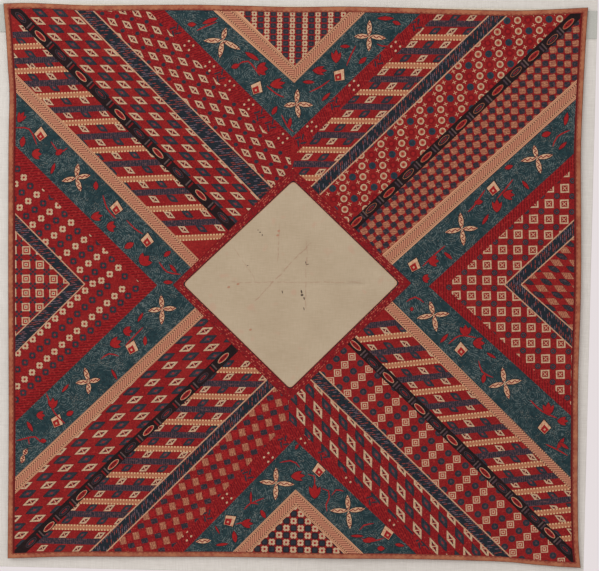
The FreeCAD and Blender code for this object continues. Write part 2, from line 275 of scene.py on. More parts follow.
def salmon_band():
    """Wide border: pale line, dark dotted row and a finely hatched middle."""
    net = Cotton("salmon_band")
    u, v = net.band()
    side = v.size()
    hatch = (u + v * 1.1 + net.noise(net.flat, 9) * 2).sine(5.4).over(0.1, 1.2)
    colour = net.mix(hatch * 0.75, dye(210, 150, 122), dye(116, 58, 50))
    colour = net.cloud(colour, 3, 2, 0.6, 0.12, 0.5, dye(206, 160, 124))
    dots = u.sine(4.6).over(0.1, 0.5)
    row = side.over(5.6, 0.4) * side.under(7.3, 0.4)
    colour = net.mix(row, colour, net.mix(dots, dye(222, 182, 142), dye(64, 36, 36)))
    colour = net.mix(side.over(7.5, 0.3), colour, dye(150, 74, 62))
    colour = net.mix(side.over(8.2, 0.3), colour, dye(220, 172, 136))
    return net.woven(net.mix(side.over(9.6, 0.3) * side.under(10.4, 0.3) * 0.8, colour, dye(96, 36, 38)))


def salmon_bar():
    """Narrow bar with a row of pale dots along each edge."""
    net = Cotton("salmon_bar")
    u, v = net.band()
    side = v.size()
    dot_pitch = 5.6
    round_u = ((u * (1 / dot_pitch)).fract() - 0.5) * dot_pitch
    round_v = side - 4.0
    far = net.calc("SQRT", round_u * round_u + round_v * round_v)
    hatch = (u + v * 0.4).sine(2.3).over(0.3, 0.8) * 0.45
    colour = net.mix(hatch, dye(192, 128, 96), dye(140, 84, 68))
    colour = net.cloud(colour, 3, 2, 0.6, 0.1, 0.5, dye(214, 160, 122))
    colour = net.mix(side.over(3.0, 0.4), colour, dye(150, 70, 56))
    return net.woven(net.mix(far.under(1.75, 0.5), colour, dye(226, 196, 150)))


def hatched(name, base, dark, light, period, slant=0.0):
    """Ground crossed by uneven fine lines."""
    net = Cotton(name)
    u, v = net.band()
    lines = (u + v * slant + net.noise(net.flat, 5, 2) * 5).sine(period)
    colour = net.mix(lines.over(0.2, 0.8), dye(*base), dye(*dark))
    return net.woven(net.cloud(colour, 4, 3, 0.6, 0.15, 0.8, dye(*light)))


# Painted shade along creases of the plain middle: (x, z, turn, half length, how dark).
CREASE_SHADE = ((-15, -316, 47, 72, 0.5), (10, -333, 1, 120, 0.34), (29, -320, 90, 60, 0.4), (-22, -262, 88, 30, 0.4),
           (-84, -300, 125, 34, 0.3), (26, -150, 0, 20, 0.9))


def beige_ground():
    """Plain middle of the cloth: fine weave with slubs, old stains, and painted shade along creases."""
    net = Cotton("beige")
    flat, x, z = net.flat, net.x, net.z
    colour = net.cloud(srgb(187, 173, 146), 70, 3, 0.5, 0.4, 1.0, srgb(178, 163, 136))
    for stretch, amount, slub in (((1, 0.08, 1), 0.35, (166, 150, 122)), ((0.08, 1, 1), 0.3, (204, 190, 164))):
        colour = net.mix(net.noise(flat, 1.6, 2, stretch).over(0.6, 0.3) * amount, colour, srgb(*slub))
    colour = net.cloud(colour, 26, 1, 0.7, 0.08, 0.5, srgb(190, 158, 134))
    for at_x, at_z, turn, half, dark in CREASE_SHADE:
        cosine, sine = math.cos(math.radians(turn)), math.sin(math.radians(turn))
        along = (x - at_x) * cosine + (z - at_z) * sine
        across = (z - at_z) * cosine - (x - at_x) * sine + net.noise(flat, 24) * 7 - 3.5
        # painted shade along each crease, which the mesh does not fold
        crease_shade = across.size().under(0.9, 1.4) * along.size().under(half, 16) * net.noise(flat, 8).over(0.44, 0.2)
        colour = net.mix(crease_shade * dark, colour, srgb(156, 112, 92))
    return net.woven(colour)


def edging_cloth():
    """Folded binding: ribbed brown-red cloth, dark along its fold."""
    net = Cotton("edging_cloth")
    u, v = net.band()
    ribs = u.sine(2.2).over(0.0, 1.6)
    colour = net.mix(ribs * 0.6, srgb(170, 106, 78), srgb(130, 68, 50))
    colour = net.cloud(colour, 5, 3, 0.52, 0.2, 0.7, srgb(146, 70, 54))
    colour = net.cloud(colour, 22, 2, 0.52, 0.2, 0.6, srgb(182, 124, 88))
    colour = net.mix(v.under(1.1, 0.8) * 0.75, colour, srgb(92, 62, 36))
    colour = net.mix(v.over(8.6, 1.0) * 0.8, colour, srgb(116, 30, 28))
    return net.finish(colour, ribs, 0.15)


CLOTH_MATERIALS = {
    "base": dyed("margin_red", (118, 24, 26), (88, 18, 20), (140, 52, 44)),
    "red": dyed("red", (154, 28, 31), (110, 14, 20), (192, 66, 56)),
    "dark_red": dyed("dark_red", (132, 18, 25), (104, 10, 18), (152, 40, 40)),
    "bright_red": dyed("bright_red", (172, 32, 36), (130, 16, 24), (190, 60, 50)),
    "cream": dyed("cream", (214, 194, 162), (174, 140, 110), (228, 214, 186), 3.4),
    "line": dyed("pale_line", (212, 174, 142), (184, 136, 110), (224, 196, 164)),
    "salmon": dyed("salmon", (188, 122, 92), (146, 84, 68), (214, 158, 122), 3.0),
    "navy": dyed("navy", (44, 58, 70), (28, 30, 38), (78, 76, 84), 3.0),
    "teal": dyed("teal", (34, 66, 82), (26, 40, 50), (64, 90, 102), 3.0),
    "violet": dyed("violet_grey", (88, 70, 80), (42, 40, 52), (124, 92, 94), 3.0),
    "black": dyed("chain_black", (32, 22, 24), (22, 14, 16), (52, 30, 32), 3.4),
    "ink": dyed("ink_line", (40, 34, 40), (30, 24, 30), (60, 50, 52)),
    "grey": dyed("grey", (104, 90, 90), (70, 56, 58), (132, 116, 112)),
    "petal": dyed("petal", (226, 198, 162), (190, 122, 96), (236, 216, 186), 4.0),
    "damage": dyed("worn_hole", (92, 80, 70), (48, 44, 44), (130, 112, 92)),
    "stain": dyed("stain", (190, 150, 124), (178, 136, 112), (200, 168, 142)),
    "beige": beige_ground(),
    "blue": blue_ground(),
    "salmon_band": salmon_band(),
    "salmon_bar": salmon_bar(),
    "navy_bar": hatched("navy_bar", (68, 58, 72), (32, 36, 44), (122, 84, 86), 3.8),
    "salmon_cell": hatched("salmon_cell", (184, 122, 94), (138, 80, 64), (206, 156, 120), 3.2),
    "navy_cell": hatched("navy_cell", (56, 54, 64), (32, 36, 46), (100, 80, 86), 3.0),
    "vine_red": hatched("vine_red", (146, 22, 28), (106, 14, 22), (180, 54, 48), 4.6, 0.5),
    "leaf_row": hatched("leaf_row", (148, 22, 28), (108, 12, 18), (176, 56, 50), 6.4, 0.9),
    "navy_band": dashes("navy_band", (34, 48, 58), (24, 28, 36), (150, 66, 58), (112, 100, 116),
                        (4.8, 6.2), (1.8, 5.0), 0.62, 0.8),
    "frame_band": dashes("frame_band", (146, 26, 32), (104, 16, 24), (196, 104, 84), (96, 20, 28),
                         (4.6, 3.6), (2.8, 1.6), 0.6, 0.5),
    "speckle_red": dashes("speckle_red", (150, 28, 32), (118, 18, 24), (176, 66, 54), (100, 14, 22),
                          (4.2, 4.2), (1.8, 1.8), 0.5, 0.3),
}

# ---- flat drawing ----
TOP = [(-529, 165), (-480, 166.5), (-400, 164), (-350, 163.5), (-200, 166.5), (-100, 166), (0, 164.5),
       (90, 166.5), (200, 165.5), (300, 163.5), (400, 163), (450, 165), (527.5, 169.5)]
RIGHT = [(527.5, 169.5), (525, 110), (522, 0), (521, -90), (524, -200), (527, -340), (526, -500),
         (528, -600), (530, -700), (534, -800), (539, -846)]
BOTTOM = [(539, -846), (500, -845), (450, -842), (400, -838.5), (300, -837), (200, -837), (100, -839),
          (0, -840), (-100, -841), (-200, -843), (-300, -845), (-400, -847), (-514.5, -853)]
LEFT = [(-514.5, -853), (-514.5, -600), (-517, -340), (-518, -100), (-517, 0), (-520, 50), (-524, 110),
        (-529, 165)]


def smooth(points, step):
    """Points along a curve through the given ones, about that far apart."""
    ends = [points[0]] + list(points) + [points[-1]]
    made = []
    for k in range(1, len(ends) - 2):
        a, b, c, d = (Vector(p) for p in ends[k - 1:k + 3])
        count = max(1, round((c - b).length / step))
        for j in range(count):
            t = j / count
            made.append(b + (c - a) * (t / 2) + (2 * a - 5 * b + 4 * c - d) * (t * t / 2)
                        + (3 * b - a - 3 * c + d) * (t ** 3 / 2))
    return [tuple(p) for p in made] + [tuple(points[-1])]


OUTLINE_STEP = 9.0
OUTLINE = []
for side in (TOP, RIGHT, BOTTOM, LEFT):
    OUTLINE += smooth(side, OUTLINE_STEP)[:-1]
MIDDLE = Vector((5.0, -340.0))  # of the outline, and its width and height
SPAN = Vector((1050.0, 1010.0))


def inset(points, sides, ends=None):
    """The outline drawn in by that many millimetres at its sides, and at its top and bottom."""
    shrink = Vector((1 - 2 * sides / SPAN.x, 1 - 2 * (sides if ends is None else ends) / SPAN.y))
    return [tuple((Vector(p) - MIDDLE) * shrink + MIDDLE) for p in points]


def inside(point, polygon):
    x, z = point
    hit = False
    for (x0, z0), (x1, z1) in zip(polygon, polygon[1:] + polygon[:1]):
        if (z0 > z) != (z1 > z) and x < x0 + (z - z0) * (x1 - x0) / (z1 - z0):
            hit = not hit
    return hit


# Every polygon in painting order: (points, zone it belongs to, colour, band frame, whether it is a zone).
drawing = []
zones = {}


def zone(name, colour, points, along=None):
    """Paints an area; later areas cover earlier ones. along = (start, end) sets its band frame."""
    zones[name] = list(points)
    drawing.append((list(points), name, colour, along, True))


def paint(zone_name, colour, points, along=None):
    """Paints a figure that shows only inside its zone."""
    if any(inside(p, zones[zone_name]) for p in points):
        drawing.append((list(points), zone_name, colour, along, False))


def strip(start, end, half):
    """Quad along a straight line."""
    a, b = Vector(start), Vector(end)
    side = (b - a).normalized().orthogonal() * half
    return [tuple(a + side), tuple(b + side), tuple(b - side), tuple(a - side)]


def middle_line(first, second):
    """Centre line between two border lines."""
    return tuple(tuple((Vector(a) + Vector(b)) / 2) for a, b in zip(first, second))


def ellipse(centre, half_long, half_short, angle=0.0, count=12):
    turn = Matrix.Rotation(math.radians(angle), 2)
    steps = (2 * math.pi * k / count for k in range(count))
    return [tuple(Vector(centre) + turn @ Vector((half_long * math.cos(t), half_short * math.sin(t))))
            for t in steps]


def around(centre, corners, scale=1.0):
    return [(centre[0] + x * scale, centre[1] + z * scale) for x, z in corners]


def box(centre, wide, high, angle=0.0):
    turn = Matrix.Rotation(math.radians(angle), 2)
    corners = ((-wide, -high), (wide, -high), (wide, high), (-wide, high))
    return [tuple(Vector(centre) + turn @ Vector(c) / 2) for c in corners]


def leaf(tip, base, half):
    """Pointed leaf between two tips."""
    a, b = Vector(tip), Vector(base)
    side = (b - a).normalized().orthogonal() * half
    near, mid, far = a.lerp(b, 0.25), a.lerp(b, 0.52), a.lerp(b, 0.8)
    edge = [a, near + side * 0.75, mid + side, far + side * 0.7, b]
    return [tuple(p) for p in edge + [far - side * 0.7, mid - side, near - side * 0.75]]


def ribbon(points, width):
    """Thin curved stroke of even width through the points."""
    path = [Vector(p) for p in smooth(points, 9.0)]
    sides = []
    for k, point in enumerate(path):
        run = path[min(k + 1, len(path) - 1)] - path[max(k - 1, 0)]
        taper = 1.0 if 0 < k < len(path) - 1 else 0.4
        sides.append(run.normalized().orthogonal() * (width / 2 * taper))
    return [tuple(p + s) for p, s in zip(path, sides)] + \
        [tuple(p - s) for p, s in reversed(list(zip(path, sides)))]


def cells(name, anchor, a, b, margin=14.0, reach=40):
    """Column, row and place of a lattice's points in a zone's box or just outside it."""
    xs, zs = zip(*zones[name])
    for i in range(-reach, reach + 1):
        for j in range(-reach, reach + 1):
            x, z = anchor[0] + i * a[0] + j * b[0], anchor[1] + i * a[1] + j * b[1]
            if min(xs) - margin < x < max(xs) + margin and min(zs) - margin < z < max(zs) + margin:
                yield i, j, (x, z)


def extend(points, far=40.0):
    """Lengthens both ends of an open line, so that it runs under the border."""
    first, second, last, before = (Vector(points[k]) for k in (0, 1, -1, -2))
    start = first + (first - second).normalized() * far
    end = last + (last - before).normalized() * far
    return [tuple(start)] + list(points[1:-1]) + [tuple(end)]


# ---- areas, in painting order ----
CHAINS = {"tl": ((-508, 152), (-107, -235)), "tr": ((508, 157), (112, -230)),
          "bl": ((-97, -452), (-500, -848)), "br": ((112, -437), (520, -822))}
NAVY = {"tl": (((-398, 155), (-58, -184)), ((-366, 155), (-34, -163))),
        "tr": (((352, 155), (38, -156)), ((384, 155), (55, -170))),
        "bl": (((-36, -508), (-358, -832)), ((-22, -522), (-330, -835))),
        "br": (((55, -494), (412, -830)), ((42, -512), (382, -830)))}
SALMON = {"tl": (((-505, 5), (-182, -309)), ((-497, 30), (-165, -296))),
          "tr": (((510, 40), (166, -281)), ((510, 7), (184, -299))),
          "bl": (((-172, -382), (-505, -705)), ((-155, -396), (-505, -736))),
          "br": (((186, -364), (518, -682)), ((171, -378), (516, -701)))}

zone("margin", "base", inset(OUTLINE, 0.8))
zone("field", "red", inset(OUTLINE, 13.0, 10.0))
zone("tl_stripes", "red", [(-530, 174), (-107, -235), (-165, -296), (-497, 30), (-530, 40)])
zone("tl_diamonds", "red", [(-530, 174), (-418, 175), (-58, -184), (-107, -235)])
zone("tl_squares", "speckle_red", [(-386, 175), (-34, -163), (0, -127), (-4, -105), (-284, 175)])
zone("tr_stripes", "red", [(276, 175), (8, -98), (0, -127), (38, -156), (372, 175)])
zone("tr_circles", "red", [(404, 175), (55, -170), (112, -230), (530, 179)])
zone("tr_checker", "speckle_red", [(530, 179), (112, -230), (166, -281), (530, 59)])
zone("bl_diamonds", "red", [(-155, -396), (-97, -452), (-530, -877), (-530, -758)])
zone("bl_stripes", "red", [(-97, -452), (-36, -508), (-380, -855), (-520, -868)])
zone("bl_checker", "speckle_red", [(-22, -522), (0, -549), (2, -586), (-240, -860), (-355, -860)])
zone("br_stripes", "red", [(171, -378), (545, -727), (545, -846), (112, -437)])
zone("br_frets", "red", [(112, -437), (545, -846), (433, -850), (55, -494)])
zone("br_steep", "speckle_red", [(42, -512), (404, -850), (308, -860), (2, -586), (0, -549)])
zone("vine_tl", "vine_red", [(-284, 175), (-4, -105), (0, -70), (-255, 175)], ((-270, 160), (0, -88)))
zone("vine_tr", "vine_red", [(8, -98), (276, 175), (250, 175), (0, -70)], ((0, -88), (250, 160)))
zone("vine_bl", "vine_red", [(2, -586), (-240, -860), (-214, -860), (12, -621)])
zone("vine_br", "vine_red", [(2, -586), (12, -621), (276, -860), (308, -860)])
zone("blue_l", "blue", [(-530, 29), (-182, -309), (-150, -342), (-172, -382), (-530, -729)])
zone("blue_r", "blue", [(540, 34), (184, -299), (150, -331), (186, -364), (545, -708)])
zone("blue_t", "blue", [(-255, 175), (0, -70), (248, 175)])
zone("blue_b", "blue", [(12, -621), (276, -860), (-214, -860)])


def banded(name, colour, low, high):
    """Band between two border lines."""
    zone(name, colour, [low[0], low[1], high[1], high[0]], middle_line(low, high))


for key, bands in NAVY.items():
    low, high = (extend(line) for line in bands)
    banded("navy_" + key, "navy_band", low, high)
    for name, line in (("low", low), ("high", high)):
        zone(f"navy_{key}_{name}", "line", strip(*line, 1.1))
for key, bands in SALMON.items():
    banded("salmon_" + key, "salmon_band", *(extend(line, 30.0) for line in bands))
for key, line in CHAINS.items():
    zone("chain_" + key, "black", strip(*extend(line, 24.0), 9.2))

VEE_L, VEE_R = [(-540, -182), (-376, -343), (-540, -510)], [(545, -179), (389, -331), (545, -471)]
INNER_L, INNER_R = [(-540, -215), (-404, -343), (-540, -476)], [(545, -210), (419, -330), (545, -437)]
zone("herring_l", "leaf_row", [(-540, -59), (-243, -343), (-540, -637)], ((-505, -108), (-255, -344)))
zone("flowers_l", "red", [(-540, -90), (-268, -345), (-540, -606)])
zone("vee_l", "navy_band", VEE_L, ((-505, -233), (-390, -343)))
zone("inner_l", "red", INNER_L)
zone("herring_r", "leaf_row", [(545, -57), (252, -336), (545, -594)], ((508, -105), (268, -337)))
zone("squares_r", "red", [(545, -82), (281, -337), (545, -575)])
zone("vee_r", "navy_band", VEE_R, ((510, -228), (404, -331)))
zone("inner_r", "red", INNER_R)
for k, (upper, tip, lower) in enumerate((VEE_L, VEE_R, INNER_L, INNER_R)):
    zone(f"rim_{k}a", "line", strip(upper, tip, 1.0))
    zone(f"rim_{k}b", "line", strip(tip, lower, 1.0))

for name, tip, inner, left, left_in, right, right_in in (
        ("t", (2, 28), (1, 58), (-145, 155), (-100, 155), (127, 155), (97, 155)),
        ("b", (16, -713), (18, -745), (-97, -830), (-65, -830), (142, -828), (105, -828))):
    inner_ends = []
    for arm, outer_end, inner_end in (("l", left, left_in), ("r", right, right_in)):
        outer_end = extend([tip, outer_end], 20.0)[1]
        inner_ends.append(extend([inner, inner_end], 20.0)[1])
        banded(f"vee_{name}{arm}", "salmon_band", (tip, outer_end), (inner, inner_ends[-1]))
    zone("inner_" + name, "red", [inner, *inner_ends])

FRAME_OUT = [(0, -127), (219, -331), (0, -549), (-213, -342)]
FRAME_MIDDLE = (0, -338)
for k, (a, b) in enumerate(zip(FRAME_OUT, FRAME_OUT[1:] + FRAME_OUT[:1])):
    zone(f"frame_{k}", "frame_band", [a, b, FRAME_MIDDLE], (a, b))
    zone(f"frame_rim_{k}", "dark_red", strip(a, b, 0.9))


def rounded(corners, radius):
    """Polygon with its corners cut round."""
    made = []
    for k, corner in enumerate(corners):
        here = Vector(corner)
        to_last = (Vector(corners[k - 1]) - here).normalized() * radius
        to_next = (Vector(corners[(k + 1) % len(corners)]) - here).normalized() * radius
        for t in (0.0, 0.25, 0.5, 0.75, 1.0):
            made.append(tuple(here + to_last * (1 - t) ** 2 + to_next * t ** 2))
    return made


zone("diamond_line", "ink", rounded([(3, -146.5), (200, -331), (3, -530), (-197.3, -340)], 7))
zone("diamond_rim", "line", rounded([(3, -148.6), (197.4, -331), (3, -527.8), (-194.9, -340)], 8))
zone("diamond", "beige", rounded([(3, -150), (195.8, -331), (3, -526.3), (-193.3, -340)], 9))

# ---- figures ----
SLANT_TL = ((-14.5, 6.5), (1.5, 6.5), (14.5, -6.5), (-1.5, -6.5))
SLANT_BL = ((-15.5, -7), (-3.5, 6), (15.5, 7), (3.5, -6))
STEEP_BR = ((-7.5, 16), (7.5, 0.5), (7.5, -16), (-7.5, -0.5))
RHOMB_TL = ((-10, 8), (3.5, 5.5), (10, -7.5), (-3.5, -5))
RHOMB_IR = ((-12.5, 5.5), (4, 5.5), (12.5, -6), (-4, -6))
BAR_SHAPE = ((-11, -6), (-2, 5.5), (11, 6), (2, -5.5))
BUD_KITE = ((-9, -8), (8, -9), (10.5, 10.5), (-8, 9))


def ovals(name, centre, angle, *layers):
    """Ellipses on each other; a layer is (colour, half length, half width, corners)."""
    for colour, half_long, half_short, count in layers:
        paint(name, colour, ellipse(centre, half_long, half_short, angle, count))


def squares(name, centre, angle, *layers):
    """Squares on each other; a layer is (colour, side)."""
    for colour, size in layers:
        paint(name, colour, box(centre, size, size, angle))


def slanted(name, centre, corners, cream, scale=1.0):
    """Four-sided figure with a pale or navy outline and a small crossed heart."""
    if cream:
        paint(name, "dark_red", around(centre, corners, scale * 1.14))
        paint(name, "cream", around(centre, corners, scale))
        inner = around(centre, corners, scale * 0.52)
        paint(name, "bright_red", inner)
        paint(name, "ink", strip(inner[0], inner[2], 0.8 * scale))
        paint(name, "cream", strip(inner[1], inner[3], 0.8 * scale))
    else:
        paint(name, "ink", rounded(around(centre, corners, scale * 1.16), 4.6 * scale))
        paint(name, "navy", rounded(around(centre, corners, scale * 1.05), 4.0 * scale))
        paint(name, "violet", around(centre, corners, scale * 0.5))
        paint(name, "bright_red", around(centre, corners, scale * 0.22))


def bloom(name, centre, radius, colour):
    """Small round flower of four notched petals."""
    points = [(radius * (1.0 if k % 4 else 0.72), k * math.pi / 8) for k in range(16)]
    ovals(name, centre, 0, ("dark_red", radius * 1.14, radius * 1.14, 10))
    paint(name, colour, [(centre[0] + r * math.cos(t), centre[1] + r * math.sin(t)) for r, t in points])
    ovals(name, centre, 0, ("bright_red", radius * 0.36, radius * 0.36, 6))


for _, _, (x, z) in cells("tl_diamonds", (-368, 78), (37, 0.7), (30, -28.4)):
    slanted("tl_diamonds", (x, z), SLANT_TL, True)
    slanted("tl_diamonds", (x + 33.5, z - 13.9), SLANT_TL, False)
for _, _, (x, z) in cells("tl_squares", (-190, 38), (27, -4.6), (10.5, -25.7)):
    slanted("tl_squares", (x, z), RHOMB_TL, True)
    ovals("tl_squares", (x + 18.7, z - 15.1), 0, ("navy", 4.2, 3.6, 8))
for _, _, (x, z) in cells("bl_diamonds", (-186.5, -457), (44.5, 2.2), (-31.7, -32.2)):
    slanted("bl_diamonds", (x, z), SLANT_BL, True)
    slanted("bl_diamonds", (x + 6.4, z - 15), SLANT_BL, False)
for _, _, (x, z) in cells("br_steep", (147, -653), (30.9, -29.2), (0, -42.5), 20):
    slanted("br_steep", (x, z), STEEP_BR, True, 1.06)
    slanted("br_steep", (x + 15.5, z - 35.5), STEEP_BR, False, 0.98)
for _, _, (x, z) in cells("bl_checker", (-84, -610), (24.5, 9.7), (7, -27)):
    paint("bl_checker", "salmon_cell", box((x, z), 11.5, 13.5, 14), ((x, z), (x + 10, z + 2.5)))
    q = (x + 15.7, z - 8.7)
    paint("bl_checker", "navy_cell", rounded(box(q, 12.5, 9.5, 16), 2.5), (q, (q[0] + 10, q[1] + 2.5)))
    paint("bl_checker", "bright_red", box((x + 12.2, z + 4.8), 8, 10, 14))
for i, j, (x, z) in cells("tr_checker", (440, 44), (13.35, 0), (0, 12.25), reach=60):
    colour, size = ("salmon_cell", 12.0) if (i + j) % 2 == 0 else ("navy_cell", 10.8)
    turn = (500 - x) * 0.08 + 5 * (i % 3)
    paint("tr_checker", colour, rounded(box((x, z), size, size - 0.8, turn), 3.0), ((x, z), (x, z + 9)))
for i, j, (x, z) in cells("tr_circles", (301, 24), (18.8, 0.9), (-2, 19.3)):
    if i % 2 == 0:
        ovals("tr_circles", (x, z), 0, ("dark_red", 7.6, 7.6, 12), ("cream", 6.4, 6.4, 12),
              ("salmon", 4.5, 4.5, 8), ("bright_red", 2.5, 2.5, 6))
    else:
        ring, heart = ("teal", "navy") if (j % 2 == 0) == (i % 4 == 1) else ("dark_red", "bright_red")
        ovals("tr_circles", (x, z), 0, (ring, 6.6, 6.6, 10), (heart, 3.4, 3.4, 7))
    for angle in (25, 115):
        paint("tr_circles", "line", box((x + 8.4, z + 10.1), 7.6, 1.4, angle))
for _, _, (x, z) in cells("br_frets", (102, -482), (-12.7, -15), (31.4, -22)):
    squares("br_frets", (x, z), 4, ("cream", 13.2), ("bright_red", 9.6), ("cream", 6.4), ("bright_red", 3.0))
    ovals("br_frets", (x + 16, z - 11.5), 0, ("navy", 6.6, 6.4, 10), ("violet", 2.8, 2.6, 6))


# ---- striped fields: bars and the rows of slanted figures between them ----
HALF_ROW = 12  # figures on each side of a row's first one
OVERRUN = 14  # mm that a bar runs on past its zone, whose border cuts it


def run_of(name, z, slope):
    """Ends of a line across a zone, a little past it, at that height at the middle of its run."""
    xs = [x for x in range(-540, 545, 3) if inside((x, z), zones[name])]
    if len(xs) <= 6:
        return None
    x0, x1 = xs[0] - OVERRUN, xs[-1] + OVERRUN
    mid = (x0 + x1) / 2
    return (x0, z + slope * (x0 - mid)), (x1, z + slope * (x1 - mid))


def striped(name, salmon, navy, slope, rows, step, mirror):
    """rows = (height, x of one pale figure); figures alternate pale and navy along the row."""
    shape = [(x * mirror, z) for x, z in BAR_SHAPE]
    for z, first in rows:
        for k in range(-HALF_ROW, HALF_ROW + 1):
            along = k * step / 2
            slanted(name, (first + along, z + slope * along), shape, k % 2 == 0)
    for colour, heights, half in (("salmon_bar", salmon, 5.2), ("navy_bar", navy, 5.6)):
        for z in heights:
            line = run_of(name, z, slope)
            if line:
                drawing.append((strip(*line, half), name, colour, line, False))


striped("bl_stripes", (-496, -545, -593, -643, -693, -743, -792), (-521, -569, -617, -667, -717, -767, -818), 0.0,
        ((-484, -78), (-508, -110), (-532, -153), (-557, -124), (-581, -130), (-605, -172), (-630, -214),
         (-654, -257), (-680, -262), (-705, -305), (-729, -345), (-755, -327), (-779, -372), (-806, -409),
         (-832, -450)), 65, 1)
striped("tr_stripes", (113, 62, 13, -39, -92, -143), (138, 88, 37, -13, -65, -118), 0.0,
        ((149, 260), (124, 284), (100, 213), (75, 232), (50, 162), (25, 178), (0, 140), (-26, 160),
         (-51, 116), (-76, 72), (-105, 27), (-132, 52)), 60, 1)
striped("tl_stripes", (88, 45, 1, -47, -96, -148, -201, -254), (109, 63, 23, -24, -72, -121, -172, -227), 0.06,
        ((120, -490), (98, -462), (76, -446), (54, -478), (34, -440), (12, -468), (-12, -446), (-35, -410),
         (-60, -380), (-84, -350), (-108, -320), (-134, -296), (-160, -270), (-186, -250), (-214, -222),
         (-240, -196)), 66, -1)
striped("br_stripes", (-430, -478, -526, -573, -618, -662, -705, -743, -768, -792),
        (-406, -455, -503, -551, -596, -640, -684, -725), 0.13,
        ((-418, 175), (-442, 212), (-466, 200), (-490, 245), (-516, 225), (-540, 275), (-562, 270), (-585, 330),
         (-608, 325), (-630, 388), (-652, 385), (-672, 434), (-695, 415), (-718, 455), (-738, 490),
         (-756, 500), (-780, 522)), 60, -1)

# ---- chains: red and navy ovals with cross bars ----
CHAIN_OVALS = {
    "tl": (
        (-497, 140), (-461, 107), (-424, 73), (-386, 35), (-350, 4), (-314, -33), (-279, -67), (-244, -102),
        (-207, -137), (-165, -177), (-124, -217)),
    "tr": (
        (493, 140), (465, 112), (432, 82), (401, 53), (369, 20), (336, -13), (305, -43), (274, -71),
        (243, -102), (211, -133), (177, -167), (145, -196), (119, -221)),
    "bl": (
        (-120, -474), (-157, -511), (-188, -543), (-223, -578), (-256, -610), (-289, -642), (-320, -674),
        (-350, -702), (-378, -732), (-410, -762), (-438, -792), (-471, -822)),
    "br": (
        (121, -446), (153, -478), (182, -504), (212, -532), (240, -560), (270, -588), (300, -616), (332, -646),
        (361, -675), (392, -702), (420, -728), (452, -756), (481, -783), (510, -812)),
}
for key, centres in CHAIN_OVALS.items():
    start, end = (Vector(p) for p in CHAINS[key])
    angle = math.degrees(math.atan2(end.y - start.y, end.x - start.x))
    name = "chain_" + key
    red_first = 1 if key == "tl" else 0
    for k, p in enumerate(centres):
        if k % 2 == red_first:
            ovals(name, p, angle, ("salmon" if key == "tr" else "line", 13.4, 4.8, 16),
                  ("bright_red", 12.2, 3.7, 14), ("black", 7.5, 1.7, 8), ("bright_red", 5.0, 0.7, 6))
        else:
            ovals(name, p, angle, ("salmon" if key == "tr" else "violet", 13.0, 5.0, 16),
                  ("black", 12.0, 4.2, 14), ("navy", 9.5, 3.0, 12), ("red", 7.0, 1.6, 8), ("black", 4.0, 0.7, 6))
        if k + 1 < len(centres):
            mid = (Vector(p) + Vector(centres[k + 1])) / 2
            step = (end - start).normalized() * 3.2
            paint(name, "grey", box(mid - step, 2.6, 13.5, angle))
            paint(name, "dark_red" if key in ("tl", "bl") else "violet", box(mid + step, 3.0, 12.0, angle))

# ---- left and right triangles ----
for _, j, (x, z) in cells("flowers_l", (-457, -224), (15.5, 12), (12, -15.5)):
    if z > -338 + (x + 268) * 0.02:
        bloom("flowers_l", (x, z), 6.7, "cream" if j % 2 == 0 else "navy")
for k, (x, z) in enumerate(((-402, -350), (-375, -355), (-348, -359), (-321, -364), (-296, -363))):
    for i in range(-4, 20):
        p = (x - 13.7 * i, z - 13 * i)
        if p[1] < -340:
            bloom("flowers_l", p, 6.7, "cream" if k % 2 else "navy")
for _, _, (x, z) in cells("inner_l", (-484, -283), (25.3, 0), (0, 26)):
    squares("inner_l", (x, z), 2, ("cream", 15), ("bright_red", 10.4), ("cream", 6.2), ("ink", 2.4))
    for dx, dz in ((0, 0), (4, 4), (-4, 4), (4, -4), (-4, -4)):
        squares("inner_l", (x - 12.7 + dx, z - 13 + dz), 45, ("navy", 4.4))
for _, _, (x, z) in cells("squares_r", (466, -211), (27.3, 0), (0, 28.1)):
    squares("squares_r", (x, z), 3, ("cream", 15.8), ("red", 10.6), ("ink", 3.4))
    for angle in (45, -45):
        paint("squares_r", "line", box((x, z), 9.5, 1.5, angle))
    ovals("squares_r", (x + 13.65, z + 14.0), 0, ("ink", 5.8, 5.8, 10), ("violet", 4.6, 4.6, 10),
          ("navy", 3.0, 3.0, 7), ("red", 1.2, 1.2, 7))
for _, _, (x, z) in cells("inner_r", (456, -336), (33.5, 0), (-13, -23.4)):
    for colour, size in (("dark_red", 1.12), ("salmon_cell", 1.0)):
        paint("inner_r", colour, around((x, z), RHOMB_IR, size), ((x, z), (x + 9, z - 4)))
    x, z = x - 5, z - 11.7
    paint("inner_r", "ink", leaf((x - 12, z + 5.5), (x + 12, z - 5.5), 5.2))
    paint("inner_r", "navy_cell", leaf((x - 11, z + 5), (x + 11, z - 5), 4.2), ((x, z), (x + 9, z - 4)))

# ---- top and bottom triangles ----
for k in range(-4, 5):
    for j in range(12):
        z = 152 - 10.6 * j
        bloom("inner_t", (-3 + 23 * k, z), 5.5, "cream")
        paint("inner_t", "navy", rounded(box((8.5 + 23 * k, z), 10.0, 8.6), 2.4))
        ovals("inner_t", (8.5 + 23 * k, z), 0, ("violet", 2.2, 1.8, 6))
for i, j, p in cells("inner_b", (0, -784.5), (13.2, 0), (0, 13.3)):
    if (i + j) % 2 == 0:
        bloom("inner_b", p, 6.7, "cream")
    else:
        paint("inner_b", "ink", rounded(box(p, 11.6, 11.6), 2.4))
        paint("inner_b", "navy", rounded(box(p, 8.0, 8.0), 2.0))

